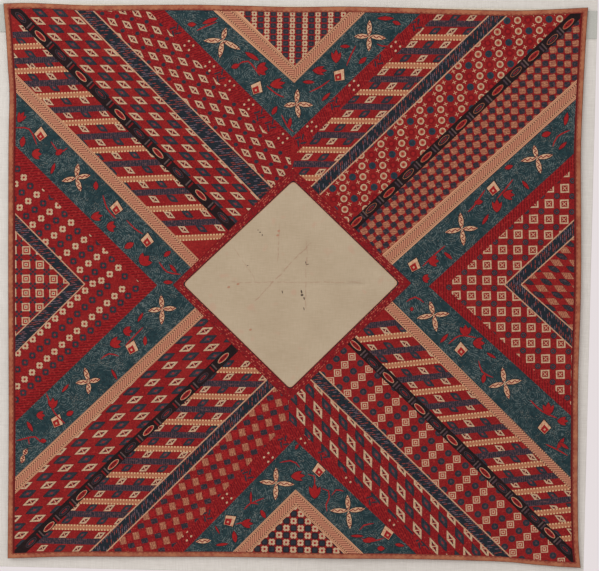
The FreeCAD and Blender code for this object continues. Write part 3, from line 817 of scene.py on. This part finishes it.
for name, groups, squiggles in (
        ("vine_tl", ((-190, 93), (-152, 56), (-115, 22), (-80, -12), (-17, -72)),
         ((-215, 120), (-133, 40), (-60, -30), (-40, -48))),
        ("vine_tr", ((35, -50), (110, 25), (184, 96)), ((15, -75), (75, -8), (152, 70), (220, 135))),
        ("vine_bl", ((-35, -655), (-110, -732), (-183, -804)), ((-8, -625), (-72, -688), (-146, -765))),
        ("vine_br", ((32, -619), (116, -689), (197, -766)), ((66, -647), (156, -728), (248, -805)))):
    for x, z in groups:
        for dx, dz in ((0, 8), (8, 0), (0, -8), (-8, 0)):
            ovals(name, (x + dx, z + dz), 50, ("cream", 2.3, 1.9, 8))
    for x, z in squiggles:
        for dx, dz, turn in ((-5, 4, 20), (4, 6, 80), (5, -5, 10), (-4, -6, 100)):
            paint(name, "navy", box((x + dx, z + dz), 11, 2.8, turn))
            ovals(name, (x + dx * 2.3, z + dz * 1.9), turn + 40, ("bright_red", 5.0, 2.6, 8))

# ---- blue fields: flowers, buds, leaves and stems ----
FLOWERS = {
    "blue_l": (
        ((-393, -149), (-390, -122), (-366, -144), (-384, -175), (-421, -156)),
        ((-233, -386), (-236, -360), (-206, -384), (-234, -416), (-260, -390)),
        ((-367, -522), (-375, -495), (-345, -517), (-367, -546), (-392, -525)),
        ((-486, -660), (-480, -648), (-490, -676))),
    "blue_r": (
        ((442, -101), (436, -77), (472, -95), (450, -130), (412, -107)),
        ((310, -231), (306, -200), (340, -229), (314, -263), (278, -238)),
        ((262, -388), (254, -362), (292, -385), (268, -420), (230, -395)),
        ((393, -510), (388, -480), (425, -504), (402, -540), (363, -518))),
    "blue_t": (
        ((-129, 103), (-123, 127), (-95, 86), (-134, 70), (-165, 102)),
        ((7, -9), (8, 18), (38, -12), (12, -36), (-17, -14)),
        ((136, 114), (136, 144), (168, 110), (136, 85), (108, 113))),
    "blue_b": (
        ((-20, -702), (-21, -672), (15, -704), (-21, -735), (-52, -700)),
        ((113, -750), (111, -719), (145, -745), (117, -785), (78, -750)), ((-138, -811), (-168, -814))),
}
for name, flowers in FLOWERS.items():
    for heart, *tips in flowers:
        heart = Vector(heart)
        tips = [Vector(tip) for tip in tips]
        for tip in tips:
            paint(name, "ink", leaf(tip, heart, 6.0))
        for tip in tips:
            paint(name, "petal", leaf(tip.lerp(heart, 0.04), heart, 4.4))
            for share, angle in ((0.2, 35), (0.36, -35), (0.52, 35), (0.68, -35), (0.84, 35)):
                paint(name, "dark_red", box(tip.lerp(heart, share), 6.4, 1.6, angle))

BUDS = {"blue_l": ((-459, -72, 42), (-319, -204, 40), (-262, -262, 42), (-288, -459, 32), (-425, -597, 26)),
        "blue_r": ((365, -158, 42), (225, -299, 30), (313, -451, 50), (467, -590, 50)),
        "blue_t": ((-66, 17, 20), (83, 42, 12)),
        "blue_b": ((58, -677, 52), (185, -790, 60), (-105, -774, -10))}
for name, places in BUDS.items():
    for x, z, turn in places:
        turned = Matrix.Rotation(math.radians(turn), 2)
        for colour, size, shift in (("ink", 1.16, 0), ("petal", 1.0, 0), ("bright_red", 0.64, -2.4),
                                    ("line", 0.2, -2.4)):
            middle = Vector((x, z)) + turned @ Vector((shift, shift))
            paint(name, colour, [tuple(middle + turned @ Vector(c) * size) for c in BUD_KITE])

LEAVES = {
    "blue_l": (
        (-495, -40, 22, 12, 60), (-492, -85, 20, 10, 80), (-466, -107, 18, 15, 0), (-425, -103, 16, 10, 40),
        (-436, -133, 22, 6, 70), (-357, -163, 16, 9, 90), (-355, -219, 22, 13, 10), (-328, -237, 17, 15, 0),
        (-295, -271, 20, 11, 30), (-266, -297, 22, 20, 45), (-214, -312, 20, 6, -50), (-225, -285, 16, 8, 40),
        (-223, -337, 18, 7, 0), (-273, -402, 20, 5, 60), (-296, -428, 17, 14, 0), (-318, -450, 22, 16, 20),
        (-264, -445, 18, 7, 90), (-320, -508, 22, 5, -60), (-410, -535, 20, 5, 50), (-433, -563, 20, 14, 90),
        (-455, -586, 16, 12, 0), (-401, -581, 15, 9, 30), (-475, -607, 22, 7, -60), (-450, -633, 12, 8, 0)),
    "blue_r": (
        (493, -30, 24, 8, 80), (458, -58, 18, 10, 20), (488, -78, 20, 6, 45), (393, -168, 22, 14, 0),
        (372, -188, 24, 14, 90), (339, -182, 16, 9, 10), (352, -213, 22, 6, 60), (423, -150, 20, 6, -50),
        (392, -118, 16, 8, 20), (260, -290, 20, 15, 0), (247, -322, 13, 12, 0), (286, -280, 20, 6, -40),
        (282, -430, 22, 6, 50), (320, -415, 20, 16, 90), (345, -438, 22, 16, 0), (368, -460, 20, 5, -30),
        (355, -502, 18, 8, 80), (473, -555, 24, 16, 90), (500, -577, 20, 12, 0), (497, -618, 24, 8, 60),
        (503, -622, 22, 6, -35), (222, -378, 8, 6, 80)),
    "blue_t": (
        (-152, 138, 30, 8, 20), (-185, 131, 16, 8, 0), (-105, 57, 16, 9, 20), (-75, 75, 30, 8, -30),
        (-56, 53, 20, 18, 0), (-28, 26, 28, 14, 10), (-33, -22, 18, 8, 60), (-5, -44, 20, 7, 80),
        (28, 30, 22, 6, 0), (48, 51, 26, 12, 0), (77, 77, 24, 14, 90), (93, 95, 18, 6, 0),
        (125, 70, 18, 8, 40), (165, 146, 30, 7, 0), (60, 4, 22, 6, 45), (185, 138, 16, 7, -20)),
    "blue_b": (
        (20, -688, 26, 14, 5), (51, -715, 28, 17, 90), (-66, -730, 24, 4, 90), (-43, -760, 18, 8, -60),
        (-72, -778, 22, 13, 0), (-95, -803, 22, 9, 100), (-127, -791, 18, 3, -60), (-118, -818, 24, 5, 8),
        (130, -796, 24, 5, 0), (152, -803, 24, 10, 10), (174, -818, 14, 9, 0), (208, -811, 18, 6, -8),
        (17, -634, 12, 5, 60)),
}
for name, places in LEAVES.items():
    for x, z, long, wide, turn in places:
        step = Vector((math.cos(math.radians(turn)), math.sin(math.radians(turn)))) * long / 2
        a, b = Vector((x, z)) + step, Vector((x, z)) - step
        lobes = [(a, b, wide / 2)]
        if wide >= 12:
            side = step.orthogonal().normalized() * wide * 0.62
            lobes = [(a, b, wide * 0.3), (a * 0.8 + b * 0.2 + side, b, wide * 0.24),
                     (a * 0.8 + b * 0.2 - side, b, wide * 0.24)]
        for tip, root, half in lobes:
            paint(name, "ink", leaf(tip + step * 0.1, root - step * 0.1, half + 1.2))
        for tip, root, half in lobes:
            paint(name, "bright_red", leaf(tip, root, half))

STEMS = {
    "blue_l": (
        ((-506, -60), (-480, -62), (-466, -90)), ((-440, -84), (-424, -103), (-410, -95)),
        ((-344, -180), (-336, -204), (-320, -222)), ((-300, -225), (-285, -240), (-270, -250)),
        ((-240, -300), (-225, -318), (-200, -322)), ((-268, -420), (-285, -438), (-300, -455)),
        ((-345, -480), (-330, -470), (-312, -474)), ((-445, -545), (-430, -580), (-410, -600)),
        ((-500, -634), (-482, -629), (-465, -626), (-455, -636)), ((-478, -626), (-476, -640))),
    "blue_r": (
        ((500, -50), (478, -62), (470, -80)), ((400, -140), (385, -160), (372, -175)),
        ((350, -160), (330, -190), (320, -200)), ((280, -262), (262, -278), (240, -300)),
        ((212, -365), (228, -356), (244, -366)), ((290, -440), (310, -425), (340, -428)),
        ((345, -470), (352, -490), (372, -500)), ((440, -540), (462, -560), (490, -572)),
        ((470, -620), (492, -630), (510, -640))),
    "blue_t": (
        ((-176, 120), (-160, 128), (-140, 136)), ((-100, 60), (-82, 66), (-60, 40)),
        ((-48, 22), (-30, 8), (-16, 2)), ((30, 12), (50, 22), (66, 34)), ((96, 60), (104, 80), (112, 96)),
        ((150, 100), (170, 96), (190, 120)), ((-20, -30), (-8, -52), (2, -60))),
    "blue_b": (
        ((-14, -664), (5, -660), (16, -664), (23, -672)), ((38, -684), (50, -688), (50, -704)),
        ((64, -710), (76, -714), (78, -726), (72, -740), (74, -752)), ((82, -722), (90, -712), (104, -714)),
        ((134, -785), (142, -776), (160, -772)), ((-52, -742), (-66, -740), (-78, -752)),
        ((-66, -740), (-56, -736), (-42, -730)), ((-94, -780), (-84, -777), (-74, -778)),
        ((138, -800), (150, -806), (170, -802), (180, -798))),
}
for name, stems in STEMS.items():
    for points in stems:
        paint(name, "bright_red", ribbon(points, 2.6))

for x, z, wide, high in ((21, -350, 1.5, 3.6), (22, -356, 2.8, 2.0), (26, -362, 1.2, 2.8), (26, -381, 0.8, 3.2),
                         (28, -297, 0.8, 2.6), (31, -300, 3.2, 0.7), (-56, -243, 1.4, 1.2), (-52, -248, 1.1, 1.4),
                         (-60, -239, 1.0, 0.9), (-14, -351, 1.0, 3.0), (-78, -304, 1.6, 0.7)):
    paint("diamond", "damage", ellipse((x, z), wide, high, 12, 8))
for x, z in ((-71, -421), (-112, -344), (-95, -338), (-22, -240), (-24, -248)):
    paint("diamond", "stain", ellipse((x, z), 2.8, 2.0, 20, 8))


# ---- the hanging cloth ----
HEADER_Z = 88.0  # the webbing's lower edge, mm
CLOTH_Y = -47.55


def surface(x, z):
    """How far out the cloth stands at that place, in millimetres of Y."""
    below = min(max((HEADER_Z - z) / 120.0, 0.0), 1.0)
    hem = min(max((-z - 640.0) / 200.0, 0.0), 1.0)
    wide = noise.noise(Vector((x / 210.0, z / 520.0, 3.1))) * 1.6
    tight = noise.noise(Vector((x / 75.0, z / 240.0, 9.4))) * 0.5
    lift = 1.2 * hem * (0.6 + math.sin(x / 95.0))
    return CLOTH_Y - below * (0.6 + wide + tight + lift)


def mesh_object(name, vertices, faces, materials):
    mesh = bpy.data.meshes.new(name)
    mesh.from_pydata(vertices, [], faces)
    mesh.validate()
    made = bpy.data.objects.new(name, mesh)
    bpy.context.scene.collection.objects.link(made)
    for material in materials:
        mesh.materials.append(material)
    mesh.polygons.foreach_set("use_smooth", [True] * len(mesh.polygons))
    return made


def add_places(mesh, name, domain, values):
    """Stores three numbers for each point or corner, for the materials to read."""
    mesh.attributes.new(name, "FLOAT_VECTOR", domain).data.foreach_set("vector", values)


def band_place(point, along):
    """Distance along and across a band's frame."""
    start, end = Vector(along[0]), Vector(along[1])
    run = (end - start).normalized()
    offset = Vector(point) - start
    return offset.dot(run), offset.x * run.y - offset.y * run.x


def turned_left(polygon):
    """The polygon with its corners in anticlockwise order."""
    pairs = zip(polygon, polygon[1:] + polygon[:1])
    twice_area = sum(x0 * z1 - x1 * z0 for (x0, z0), (x1, z1) in pairs)
    return polygon if twice_area > 0 else polygon[::-1]


GRID = 12.0  # mm between the cloth's own mesh points
BEND_ROWS = [60.0 + 3.7 * j for j in range(11)]  # closer rows of points, where the cloth bends
MERGE = 0.01  # mm, points nearer than this become one


def make_cloth():
    """One sheet cut along the outlines of every area and figure, with a material for each colour."""
    points, faces = [], []
    for polygon, *_ in drawing:
        polygon = turned_left(polygon)
        faces.append(list(range(len(points), len(points) + len(polygon))))
        points += [Vector(p) for p in polygon]
    rows = [j * GRID + 1.9 for j in range(-71, 14)] + BEND_ROWS
    points += [Vector((i * GRID + 3.7, z)) for i in range(-43, 45) for z in rows]
    verts, _, tris, _, _, sources = delaunay_2d_cdt(points, [], faces, 0, MERGE, True)
    names = list(CLOTH_MATERIALS)
    kept, colours, frames = [], [], []
    for tri, ids in zip(tris, sources):
        if 0 not in ids:
            continue
        area = max(k for k in ids if drawing[k][4]) if 1 in ids else 0
        a, b, c = (verts[k] for k in tri)
        centre = (a + b + c) / 3
        best = next((k for k in sorted(ids, reverse=True) if k > area and drawing[k][1] == drawing[area][1]
                     and inside(centre, drawing[k][0])), area)
        kept.append(tri if (b - a).cross(c - a) > 0 else tri[::-1])
        colours.append(names.index(drawing[best][2]))
        frames.append(drawing[best][3])
    used = sorted({k for tri in kept for k in tri})
    index = {k: n for n, k in enumerate(used)}
    flat = [verts[k] for k in used]
    space = [(p.x * MM, surface(p.x, p.y) * MM, p.y * MM) for p in flat]
    faces = [[index[k] for k in tri] for tri in kept]
    cloth = mesh_object("cloth", space, faces, CLOTH_MATERIALS.values())
    mesh = cloth.data
    mesh.polygons.foreach_set("material_index", colours)
    values = []
    for polygon, along in zip(mesh.polygons, frames):
        for k in polygon.vertices:
            values += [*(band_place(flat[k], along) if along else flat[k]), 0.0]
    add_places(mesh, "flat", "POINT", [c for p in flat for c in (p.x, p.y, 0.0)])
    add_places(mesh, "band", "CORNER", values)
    return cloth


cloth = make_cloth()


# ---- binding round the cloth's edge ----
BINDING = [(10.0, -0.3), (9.6, -0.62), (8.4, -0.72), (5.0, -0.78), (1.4, -0.72), (0.4, -0.5), (0.0, 0.0),
           (0.4, 0.5), (1.4, 0.72), (5.0, 0.76), (8.4, 0.7), (9.6, 0.6), (10.0, 0.3)]
STITCH_DEPTH = 7.6


def make_edging():
    """Folded strip round the cloth with a row of running stitches."""
    count, rings = len(OUTLINE), len(BINDING)
    lengths = [0.0]
    for a, b in zip(OUTLINE, OUTLINE[1:]):
        lengths.append(lengths[-1] + (Vector(b) - Vector(a)).length)
    vertices, flats, bands = [], [], []

    def add(x, z, out, length, depth):
        vertices.append((x * MM, (surface(x, z) + out) * MM, z * MM))
        flats.extend((x, z, 0.0))
        bands.extend((length, depth, 0.0))

    for depth, out in BINDING:
        for (x, z), length in zip(inset(OUTLINE, depth), lengths):
            add(x, z, out, length, depth)
    faces = [[r * count + k, ((r + 1) % rings) * count + k, ((r + 1) % rings) * count + (k + 1) % count,
              r * count + (k + 1) % count] for r in range(rings) for k in range(count)]
    plain = len(faces)
    row = inset(OUTLINE, STITCH_DEPTH)
    for k in range(count):
        a, b = Vector(row[k]), Vector(row[(k + 1) % count])
        side = (b - a).normalized().orthogonal() * 0.3
        first = len(vertices)
        for share, lift in ((0.15, 0.55), (0.3, 1.0), (0.6, 1.0), (0.75, 0.55)):
            for offset, rise in ((side, 0.0), (side * 0.0, 0.3), (-side, 0.0)):
                q = a.lerp(b, share) + offset
                add(q.x, q.y, -lift - rise * lift, lengths[k], 5.0)
        faces += [[n, n + 1, n + 4, n + 3] for n in (first + 3 * j + i for j in range(3) for i in range(2))]
    edging = mesh_object("edging", vertices, faces, [edging_cloth(), CLOTH_MATERIALS["dark_red"]])
    edging.data.polygons.foreach_set("material_index", [0] * plain + [1] * (len(faces) - plain))
    add_places(edging.data, "flat", "POINT", flats)
    add_places(edging.data, "band", "POINT", bands)
    return edging


edging = make_edging()


# ---- linen cover ----
def linen():
    net = Net("linen", sheen=0.2)
    place = net.place()
    x, y, z = net.split(place)
    colour = net.mix(net.noise(place, 90, 3).over(0.5, 0.5), srgb(231, 231, 223), srgb(222, 222, 214))
    for stretch in ((0.05, 1, 1), (1, 1, 0.05)):
        threads = net.noise(place, 1.1, 2, stretch).over(0.55, 0.3)
        colour = net.mix(threads * 0.4, colour, srgb(204, 203, 193))
    colour = net.mix(net.noise(place, 2.2, 2, (0.06, 1, 1)).over(0.68, 0.06) * 0.4, colour, srgb(238, 238, 230))
    return net.finish(colour, weave(net, x + y, z + y, LINEN_PITCH), 0.15)


def make_cover():
    """Stretched wrap over the face, the edges and onto the back."""
    low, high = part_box("cover_fabric")
    thick = (high.y - low.y) / MM
    section = [(30.0, 0.0), (12.0, 0.0), (3.0, 0.0), (1.0, 0.06), (0.25, 0.3), (0.0, 1.2), (0.0, thick - 1.2),
               (0.25, thick - 0.3), (1.0, thick - 0.06), (3.0, thick), (10.0, thick + 0.1), (26.0, thick)]
    step = 0.018
    vertices, rings = [], []
    across = max(2, round((high.x - low.x) / step))
    up = max(2, round((high.z - low.z) / step))
    for depth, back in section:
        d, y = depth * MM, low.y + back * MM
        x0, x1, z0, z1 = low.x + d, high.x - d, low.z + d, high.z - d
        ring = [(x0 + (x1 - x0) * k / across, y, z1) for k in range(across)]
        ring += [(x1, y, z1 + (z0 - z1) * k / up) for k in range(up)]
        ring += [(x1 + (x0 - x1) * k / across, y, z0) for k in range(across)]
        ring += [(x0, y, z0 + (z1 - z0) * k / up) for k in range(up)]
        rings.append(range(len(vertices), len(vertices) + len(ring)))
        vertices += ring
    count = len(rings[0])
    faces = [[a[k], b[k], b[(k + 1) % count], a[(k + 1) % count]] for a, b in zip(rings, rings[1:])
             for k in range(count)]
    faces.append(list(rings[0]))
    return mesh_object("linen_cover", vertices, faces, [linen()])


cover = make_cover()


# ---- tapes ----
def tape_cloth(name, base, dark, light, pitch, fuzz):
    net = Net(name, sheen=0.2)
    place = net.place()
    x, _, z = net.split(place)
    rows = weave(net, x, z, pitch)
    # painted shade: darker where the weave's threads dip
    colour = net.mix(rows.under(0.35, 0.4) * 0.5, srgb(*base), srgb(*dark))
    colour = net.mix(net.noise(place, fuzz, 3).over(0.6, 0.15) * 0.6, colour, srgb(*light))
    return net.finish(colour, rows, 0.3)


def make_tape(name, node, material, selvedge, dip):
    """Woven strip with a firm selvedge along both edges and heat-cut ends."""
    low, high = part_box(node)
    wide, thick = (high.z - low.z) / MM, (high.y - low.y) / MM
    front = [(0.0, 0.5), (0.25, 0.12), (0.8, 0.0), (selvedge - 0.4, 0.0), (selvedge, dip), (selvedge + 0.5, dip),
             (selvedge + 1.1, 0.0)]
    inner = [(selvedge + 1.1 + (wide / 2 - selvedge - 1.1) * k / 4, 0.02 * (k % 2)) for k in range(1, 5)]
    half = front + inner
    section = half + [(wide - a, b) for a, b in reversed(half[:-1])]
    section += [(wide - 0.3, thick - 0.1), (wide - 1.0, thick), (1.0, thick), (0.3, thick - 0.1)]
    length = (high.x - low.x) / MM
    stops = [0.0, 0.4, 1.5] + [length * k / 60 for k in range(1, 60)] + [length - 1.5, length - 0.4, length]
    vertices, faces = [], []
    for k, stop in enumerate(stops):
        pinch = (0.5, 0.85, 1.0)[min(k, len(stops) - 1 - k, 2)]
        for across, depth in section:
            y = thick / 2 + (depth - thick / 2) * pinch
            vertices.append((low.x + stop * MM, low.y + y * MM, low.z + across * MM))
    n = len(section)
    for k in range(len(stops) - 1):
        for j in range(n):
            faces.append([k * n + j, (k + 1) * n + j, (k + 1) * n + (j + 1) % n, k * n + (j + 1) % n])
    faces.append(list(range(n)))
    faces.append(list(range((len(stops) - 1) * n, len(stops) * n))[::-1])
    return mesh_object(name, vertices, faces, [material])


hook_cloth = tape_cloth("hook_tape_weave", (196, 201, 192), (172, 177, 168), (208, 212, 204), 0.9, 2.0)
loop_cloth = tape_cloth("loop_pile", (200, 196, 184), (160, 156, 146), (220, 216, 206), 0.7, 1.2)
web_cloth = tape_cloth("cotton_webbing", (222, 214, 194), (184, 174, 150), (234, 228, 212), 1.3, 5.0)
hook = make_tape("hook_strip", "hook_tape", hook_cloth, 3.0, 0.12)
loop = make_tape("loop_strip", "loop_tape", loop_cloth, 3.0, 0.1)
webbing = make_tape("webbing_strip", "header_webbing", web_cloth, 5.0, 0.1)


# ---- finishes of the CAD parts ----
def wood(name, along, light, dark, line):
    """Planed softwood with its grain along one axis."""
    net = Net(name, roughness=0.6)
    place = net.place()
    stretch = [0.035 if axis == along else 1.0 for axis in "xyz"]
    rings = net.noise(place, 22, 3, stretch) * 60
    lines = net.calc("SINE", rings).over(0.2, 1.6)
    fibre = net.noise(place, 1.4, 4, stretch)
    colour = net.mix(lines * 0.75, srgb(*light), srgb(*dark))
    colour = net.mix(fibre.over(0.58, 0.2) * 0.5, colour, srgb(*line))
    knot_stretch = [0.105 if axis == along else 1.0 for axis in "xyz"]
    knots = net.noise(place, 60, 1, knot_stretch).over(0.74, 0.05)
    colour = net.mix(knots * 0.25, colour, srgb(*line))
    return net.finish(colour, fibre, 0.3, net.calc("MULTIPLY_ADD", fibre, 0.3, 0.45))


def metal(name, colour, worn, roughness, grain):
    net = Net(name, roughness=roughness, metallic=1.0)
    place = net.place()
    cloud = net.noise(place, grain, 4)
    scratch = net.noise(place, 0.5, 2, (0.1, 1, 1))
    shade = net.mix(cloud.over(0.5, 0.3), srgb(*colour), srgb(*worn))
    return net.finish(shade, scratch, 0.05, net.calc("MULTIPLY_ADD", cloud, 0.3, roughness - 0.15))


def rubber():
    net = Net("pad_rubber_black", roughness=0.85)
    place = net.place()
    grain = net.noise(place, 1.2, 4)
    return net.finish(net.mix(grain.over(0.5, 0.4), srgb(52, 50, 50), srgb(34, 33, 34)), grain, 0.25)


def thread():
    net = Net("stitch_thread", roughness=0.7, sheen=0.3)
    x, y, z = net.split(net.place())
    twist = (x + z + y).sine(0.9).over(0.0, 1.2)
    return net.finish(net.mix(twist, srgb(226, 214, 190), srgb(176, 158, 128)), twist, 0.1)


PINE = ((222, 192, 146), (196, 156, 108), (158, 112, 70))
BIRCH = ((226, 204, 168), (204, 176, 136), (170, 136, 98))
zinc = metal("zinc_screw", (196, 194, 184), (150, 148, 142), 0.42, 3.0)
steel = metal("galvanised_plate", (182, 186, 188), (164, 168, 171), 0.46, 14.0)
wire = metal("staple_wire", (190, 190, 188), (150, 150, 150), 0.35, 2.0)
FINISHES = {
    wood("cleat_pine", "x", (214, 180, 132), (182, 138, 90), (146, 100, 60)): ("wall_cleat", "panel_cleat"),
    wood("rail_pine", "x", *PINE): ("stretcher_top", "stretcher_bottom", "hanging_rail", "lower_rail",
                                    "spacer_left", "spacer_right"),
    wood("stile_pine", "z", *PINE): ("stretcher_left", "stretcher_right", "centre_stile"),
    wood("birch_board", "z", *BIRCH): ("face_board",),
    zinc: ("rail_screws", "corner_plate_screws", "panel_cleat_screws", "spacer_screws"),
    steel: ("corner_plates",),
    wire: ("cover_staples", "hook_tape_staples"),
    rubber(): ("wall_pads",),
    thread(): ("header_stitching",),
}
for material, names in FINISHES.items():
    for name in names:
        slots = NODES[name].data.materials
        slots.clear()
        slots.append(material)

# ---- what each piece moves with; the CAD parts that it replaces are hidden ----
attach(cover, "panel")
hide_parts("cover_fabric")
for piece, node, body, slot_name, under in (
        (hook, "hook_tape", "panel", "hook_tape", cover), (loop, "loop_tape", "header", "loop_tape", hook),
        (webbing, "header_webbing", "header", "webbing", loop)):
    low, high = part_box(node)
    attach(piece, body)
    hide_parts(node)
for piece in (cloth, edging):
    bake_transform(piece)
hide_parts("cloth_top_band", "cloth_drop")
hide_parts("edging_top", "edging_left", "edging_right", "edging_bottom")

# ---- floor, light and camera ----
def pale_floor():
    net = Net("pale_floor", roughness=0.9)
    place = net.place()
    return net.finish(net.mix(net.noise(place, 300, 2), srgb(226, 222, 220), srgb(220, 216, 214)))


FLOOR_Z = -1.45
FLOOR_CORNERS = ((-4, -4), (4, -4), (4, 1.2), (-4, 1.2))
floor = mesh_object("floor", [(x, y, FLOOR_Z) for x, y in FLOOR_CORNERS], [[0, 1, 2, 3]], [pale_floor()])


def area_light(name, place, target, size, power):
    data = bpy.data.lights.new(name, "AREA")
    data.size = size
    data.energy = power
    lamp = bpy.data.objects.new(name, data)
    lamp.location = place
    lamp.rotation_euler = (Vector(target) - Vector(place)).to_track_quat("-Z", "Y").to_euler()
    bpy.context.scene.collection.objects.link(lamp)


area_light("key", (-2.3, -2.3, 1.5), (0, 0, -0.25), 2.2, 46.0)  # watts
area_light("back_fill", (0.8, 2.6, 1.2), (0, 0, -0.3), 2.2, 20.0)
world = bpy.data.worlds.new("studio")
world.use_nodes = True
world.node_tree.nodes["Background"].inputs["Color"].default_value = srgb(230, 221, 222)
world.node_tree.nodes["Background"].inputs["Strength"].default_value = 1.0
scene = bpy.context.scene
scene.world = world
scene.view_settings.view_transform = "Standard"

camera = bpy.data.cameras.new("camera")
camera.lens = 100.0
camera.sensor_width = 36.0
camera.clip_end = 50.0
eye = bpy.data.objects.new("camera", camera)
stand = Vector((0.12499, -3.07088, -0.17667))
right = Vector((0.99922, 0.03646, 0.01547))
forward = Vector((-0.03559, 0.99793, -0.05349))
upward = Vector((-0.01738, 0.05290, 0.99845))
turned = Matrix((right, upward, -forward)).transposed().to_4x4()
eye.matrix_world = Matrix.Translation(stand) @ turned
scene.collection.objects.link(eye)
scene.camera = eye
